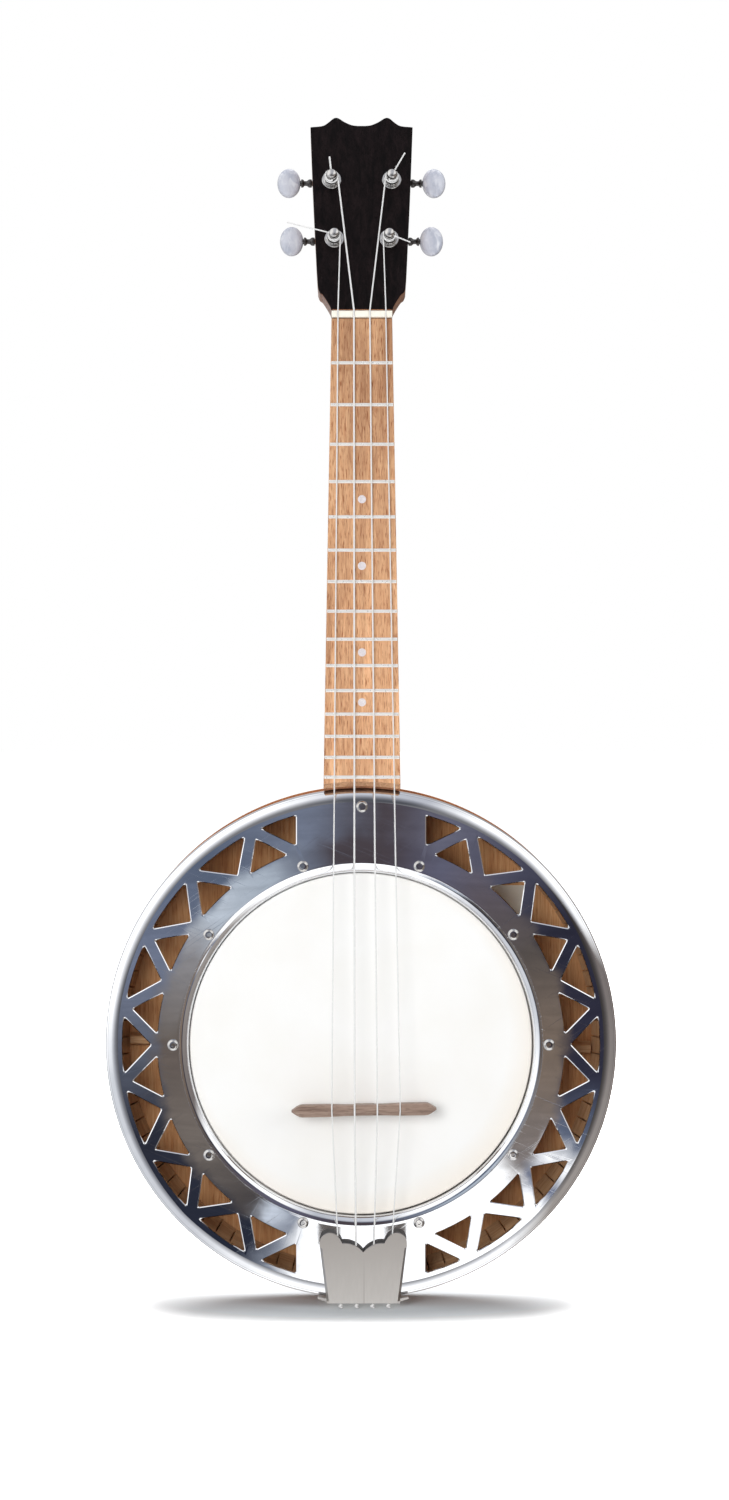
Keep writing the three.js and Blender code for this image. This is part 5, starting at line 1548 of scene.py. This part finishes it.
for index, ((side, x, rise, _), letter) in enumerate(zip(TUNERS.values(), "gcea")):
    radius = DIAMETERS[index] / 2
    touch = height_point(winding_radius(index), tangent_angle(index, side, x, rise), WINDING_END)
    end = touch + (nut_exit(index, side, x, rise) - touch).normalized() * SEAT
    end = BODY.inverted() @ HEAD @ Vector(((end.x - x) * side, end.y, end.z + rise))
    in_nut = [BODY.inverted() @ NECK @ Vector((NUT_XS[index], NUT_DEPTHS[index], z))
              for z in (NUT_ENTRY, NUT_EXIT)]
    hole_x = TAIL_HOLES[index]
    in_hole = [Vector((hole_x, HOLE_DEPTH, z)) for z in (STRING_START, -HOOK_IN)]
    saddle = Vector((BRIDGE_XS[index], BRIDGE_TOP - SEAT - radius, BRIDGE_Z))
    line = wire("string_" + letter + "_line", [*in_hole, saddle, *in_nut, end], radius, 12)
    loop = []
    for i in range(49):
        a = FULL_TURN * i / 24
        loop.append((hole_x + KNOT_RADIUS * math.cos(a), HOLE_DEPTH + KNOT_RADIUS * math.sin(a),
                     KNOT_Z + KNOT_RADIUS * math.cos(a / 2)))
    line = joined("string_" + letter + "_line", line, wire("knot", loop, KNOT_THICK, 10))
    settle(line, BODY, "string_nylon", "string_" + letter, angle=50)
print("pieces:", len(PIECES), "faces:", sum(len(piece.data.polygons) for piece in PIECES))

# %% [markdown]
# The scene around the instrument is a white studio. Polished metal shows what it faces, so the sky has a
# second picture that only glossy rays see. It goes round the line of sight in bright and dark walls, as
# the photographer's room did, and gets darker straight in front, where the camera stands. The camera
# itself sees plain white, and everything else is lit by an even, weak white.

# %% World
world = bpy.data.worlds.new("studio")
bpy.context.scene.world = world
world.use_nodes = True
tree = world.node_tree
tree.nodes.clear()
parts = split(tree, node(tree, "TexCoord").outputs["Generated"])
rays = node(tree, "LightPath").outputs
turn = around(tree, parts)
room = stops(
    tree, turn, (0.0, 1.4), (0.05, (0.8, 0.82, 0.86)), (0.15, (0.75, 0.76, 0.8)), (0.2, 1.4),
    (0.33, 1.4), (0.37, (0.42, 0.38, 0.35)), (0.53, (0.22, 0.19, 0.18)), (0.56, 1.3), (0.66, 1.4),
    (0.7, (0.6, 0.62, 0.68)), (0.76, (0.7, 0.72, 0.78)), (0.81, 1.4), (1.0, 1.4),
)
leaning = calc(tree, "MULTIPLY", parts["Y"], parts["Y"])
lines = stops(
    tree, leaning, (0.0, 1.1), (0.06, 1.1), (0.09, (0.3, 0.29, 0.29)), (0.13, 1.0), (0.6, 1),
    (0.78, (0.6, 0.6, 0.62)), (0.9, (0.3, 0.3, 0.31)), (0.96, (0.16, 0.16, 0.17)),
)
beyond = stops(
    tree, turn, (0.0, (0.75, 0.75, 0.76)), (0.12, 0.6), (0.3, (0.5, 0.46, 0.44)), (0.4, (0.24, 0.2, 0.18)),
    (0.5, (0.22, 0.18, 0.16)), (0.6, (0.4, 0.38, 0.37)), (0.75, (0.55, 0.55, 0.57)), (0.88, (0.6, 0.6, 0.62)),
    (1.0, (0.75, 0.75, 0.76)),
)
ahead = ramp(tree, parts["Y"], 0.0, 0.25)
picture = mix(tree, ahead, mix(tree, 1.0, room, lines, "MULTIPLY"), beyond)
soft = node(tree, "Background", {"Color": rgba(1.0), "Strength": 0.32})
shiny = node(tree, "Background", {"Color": picture, "Strength": 1.0})
plain = node(tree, "Background", {"Color": rgba(1.0), "Strength": 1.0})
lit = node(tree, "MixShader", {0: rays["Is Glossy Ray"], 1: soft.outputs[0], 2: shiny.outputs[0]})
seen = node(tree, "MixShader", {0: rays["Is Camera Ray"], 1: lit.outputs[0], 2: plain.outputs[0]})
node(tree, "OutputWorld", {"Surface": seen.outputs[0]})
print("world nodes:", len(tree.nodes))

# %% [markdown]
# The floor is a large plane under the lowest piece. For the camera its colour keeps the soft shadow under
# the body and turns plain white further out, along an oval that is wider than it is deep. All other rays
# see an even grey, so that the floor throws little light back up.

# %% Floor
FLOOR_SIZE, FLOOR_GAP, OVAL = 16, 0.0003, (1, 2.2, 1)
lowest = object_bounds()[0][2]


def stage_material(obj, name):
    """Gives a stage object an empty material and returns its tree."""
    made = bpy.data.materials.new(name)
    made.use_nodes = True
    made.node_tree.nodes.clear()
    obj.data.materials.append(made)
    return made.node_tree


bpy.ops.mesh.primitive_plane_add(size=FLOOR_SIZE, location=(0, 0, lowest - FLOOR_GAP))
floor = bpy.context.object
floor.name = floor.data.name = "floor"
tree = stage_material(floor, "floor_white")
spots = node(tree, "TexCoord").outputs["Object"]
tint = mix(tree, noise(tree, spots, 3, 2), 0.44, 0.46)
oval = mapped(tree, spots, Scale=OVAL)
reach = node(tree, "VectorMath", {0: oval}, operation="LENGTH").outputs["Value"]
paler = stops(
    tree, reach, (0.0, (0.74, 0.785, 0.82)), (0.07, (0.78, 0.82, 0.85)), (0.11, (1.0, 1.03, 1.05)),
    (0.16, 2.2), (1.0, 3.5),
)
tint = mix(tree, node(tree, "LightPath").outputs["Is Camera Ray"], tint, paler)
node(tree, "OutputMaterial", {"Surface": node(tree, "BsdfDiffuse", {"Color": tint}).outputs[0]})
floor.visible_glossy = False
print("floor at", round(lowest / MM, 1), "mm")

# %% [markdown]
# A card in front of the plate paints what its flat metal mirrors. Only glossy rays can see the card. A
# mirror shows a place on the card where the ray from the camera bounces to it, so the card's own places
# are first shrunk and shifted to the plate's. Then the colours follow the angle round the plate: one row
# for the inner band, one for the webs between the triangles, with brushed streaks and the tailpiece's
# mirrored legs on top.

# %% Reflection card
CARD_FAR, CARD_SIZE, CARD_Z = 450, 380, -53
WOBBLE, WOBBLE_SCALE = 20, 0.06
BRIGHT = 1.6
LEG_OUT, LEGS_LOW, LEGS_TALL = 24, -110, 18
bpy.ops.mesh.primitive_plane_add(size=CARD_SIZE)
card = bpy.context.object
card.name = card.data.name = "reflection_card"
put(card, BODY @ Matrix.Translation((0, -CARD_FAR, CARD_Z)) @ Z_UP)
tree = stage_material(card, "card_picture")
spread = CARD_FAR / -LENS_PLACE.y
shift = LENS_PLACE * spread / (1 + spread)
on_plate = mapped(tree, places(tree), Scale=(1 / (1 + spread),) * 3, Location=(shift.x, 0, shift.z))
wobble = node(tree, "TexNoise", {"Vector": on_plate, "Scale": WOBBLE_SCALE, "Detail": 3.0}).outputs["Color"]
for operation, value in (("SUBTRACT", (0.5, 0.5, 0.5)), ("MULTIPLY", (WOBBLE, 0, WOBBLE)), ("ADD", on_plate)):
    wobble = node(tree, "VectorMath", {0: wobble, 1: value}, operation=operation).outputs[0]
parts = split(tree, wobble)
turn = around(tree, parts)


def by_angle(*colors):
    """Colours by their angle round the plate, in degrees from its right side."""
    return stops(tree, turn, *[((degrees + 180) / 360, color) for degrees, color in colors])


band = by_angle(
    (-180, (0.15, 0.12, 0.105)), (-150, (0.2, 0.17, 0.15)), (-124, (0.08, 0.07, 0.07)),
    (-120, (0.7, 0.76, 0.86)), (-112, (0.3, 0.33, 0.4)), (-104, BRIGHT), (-44, BRIGHT),
    (-37, (0.24, 0.21, 0.2)), (-5, (0.24, 0.18, 0.14)), (30, (0.12, 0.1, 0.09)), (50, (0.13, 0.11, 0.13)),
    (65, (0.13, 0.13, 0.19)), (82, (0.075, 0.06, 0.07)), (97, (0.08, 0.065, 0.075)),
    (106, (0.17, 0.19, 0.25)), (120, (0.46, 0.52, 0.6)), (140, (0.6, 0.66, 0.74)),
    (152, (0.32, 0.31, 0.32)), (180, (0.17, 0.14, 0.12)),
)
webs = by_angle(
    (-180, (0.13, 0.145, 0.19)), (-158, (0.03, 0.033, 0.05)), (-120, (0.025, 0.03, 0.05)),
    (-112, (0.3, 0.33, 0.4)), (-104, BRIGHT), (-44, BRIGHT), (-38, (0.12, 0.15, 0.25)), (-31, 1.3),
    (-25, (0.14, 0.17, 0.25)),
    (-8, (0.035, 0.035, 0.06)), (30, (0.03, 0.03, 0.05)), (48, (0.08, 0.08, 0.12)), (68, (0.16, 0.16, 0.22)),
    (85, (0.08, 0.065, 0.075)), (105, (0.2, 0.23, 0.31)), (130, (0.12, 0.15, 0.22)), (160, (0.2, 0.23, 0.32)),
    (180, (0.13, 0.145, 0.19)),
)
distance = from_middle(tree, parts["X"], parts["Z"])
picture = mix(tree, ramp(tree, calc(tree, "DIVIDE", distance, 200), 0.545, 0.58), band, webs)
brushed = noise(tree, mapped(tree, on_plate, Scale=(0.03, 1, 1)), 0.5, 4, 0.6)
picture = mix(tree, 0.6, picture, linear(tree, brushed, 1.2, 0.4), "MULTIPLY")
ends = split(tree, on_plate)
aside = calc(tree, "ABSOLUTE", calc(tree, "ADD", ends["X"], -TAIL_X))
risen = calc(tree, "ADD", ends["Z"], -LEGS_LOW)
legs = ramp(tree, calc(tree, "MULTIPLY", aside, 0.01), 0.115, 0.135)
for inside in (("LESS_THAN", aside, LEG_OUT), ("LESS_THAN", risen, LEGS_TALL), ("GREATER_THAN", risen, 0)):
    legs = calc(tree, "MULTIPLY", legs, calc(tree, *inside))
picture = mix(tree, legs, picture, (0.14, 0.12, 0.11))
glow = node(tree, "Emission", {"Color": picture, "Strength": 1.0})
node(tree, "OutputMaterial", {"Surface": glow.outputs[0]})
card.visible_camera = card.visible_diffuse = card.visible_shadow = card.visible_transmission = False
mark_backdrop(floor, card)
print("card nodes:", len(tree.nodes))

# %% [markdown]
# A large soft lamp stands in front, a little to the left, and a weaker one to the right. A third hangs
# above and behind and draws the soft shadow on the floor. Together with the even white world they light
# the pale skin almost to white, while the dark wood keeps its colour. No lamp shows in the metal.

# %% Lamps and picture settings
def lamp(name, place, target, size, power):
    data = bpy.data.lights.new(name, "AREA")
    data.shape = "DISK"
    data.size = size
    data.energy = power
    obj = bpy.data.objects.new(name, data)
    bpy.context.scene.collection.objects.link(obj)
    obj.location = place
    obj.rotation_euler = (Vector(target) - Vector(place)).to_track_quat("-Z", "Y").to_euler()
    obj.visible_glossy = False
    return obj


lamps = [
    lamp("key", (-0.55, -2.0, -0.05), (0, 0, -0.33), 1.0, 27),
    lamp("fill", (1.6, -1.3, 0.2), (0, 0, -0.35), 1.4, 9),
    lamp("above", (0, 0.8, 1.2), (0, 0, -0.55), 1.8, 42),
]
bpy.context.scene.view_settings.view_transform = "Standard"
print("lamps:", [each.data.energy for each in lamps])

# %% Sizes and finish
dressed_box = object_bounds()
sizes = {"cad": [list(corner) for corner in cad_box], "dressed": [list(corner) for corner in dressed_box]}
for label, corners in sizes.items():
    print(label, [[round(v / MM, 2) for v in corner] for corner in corners])
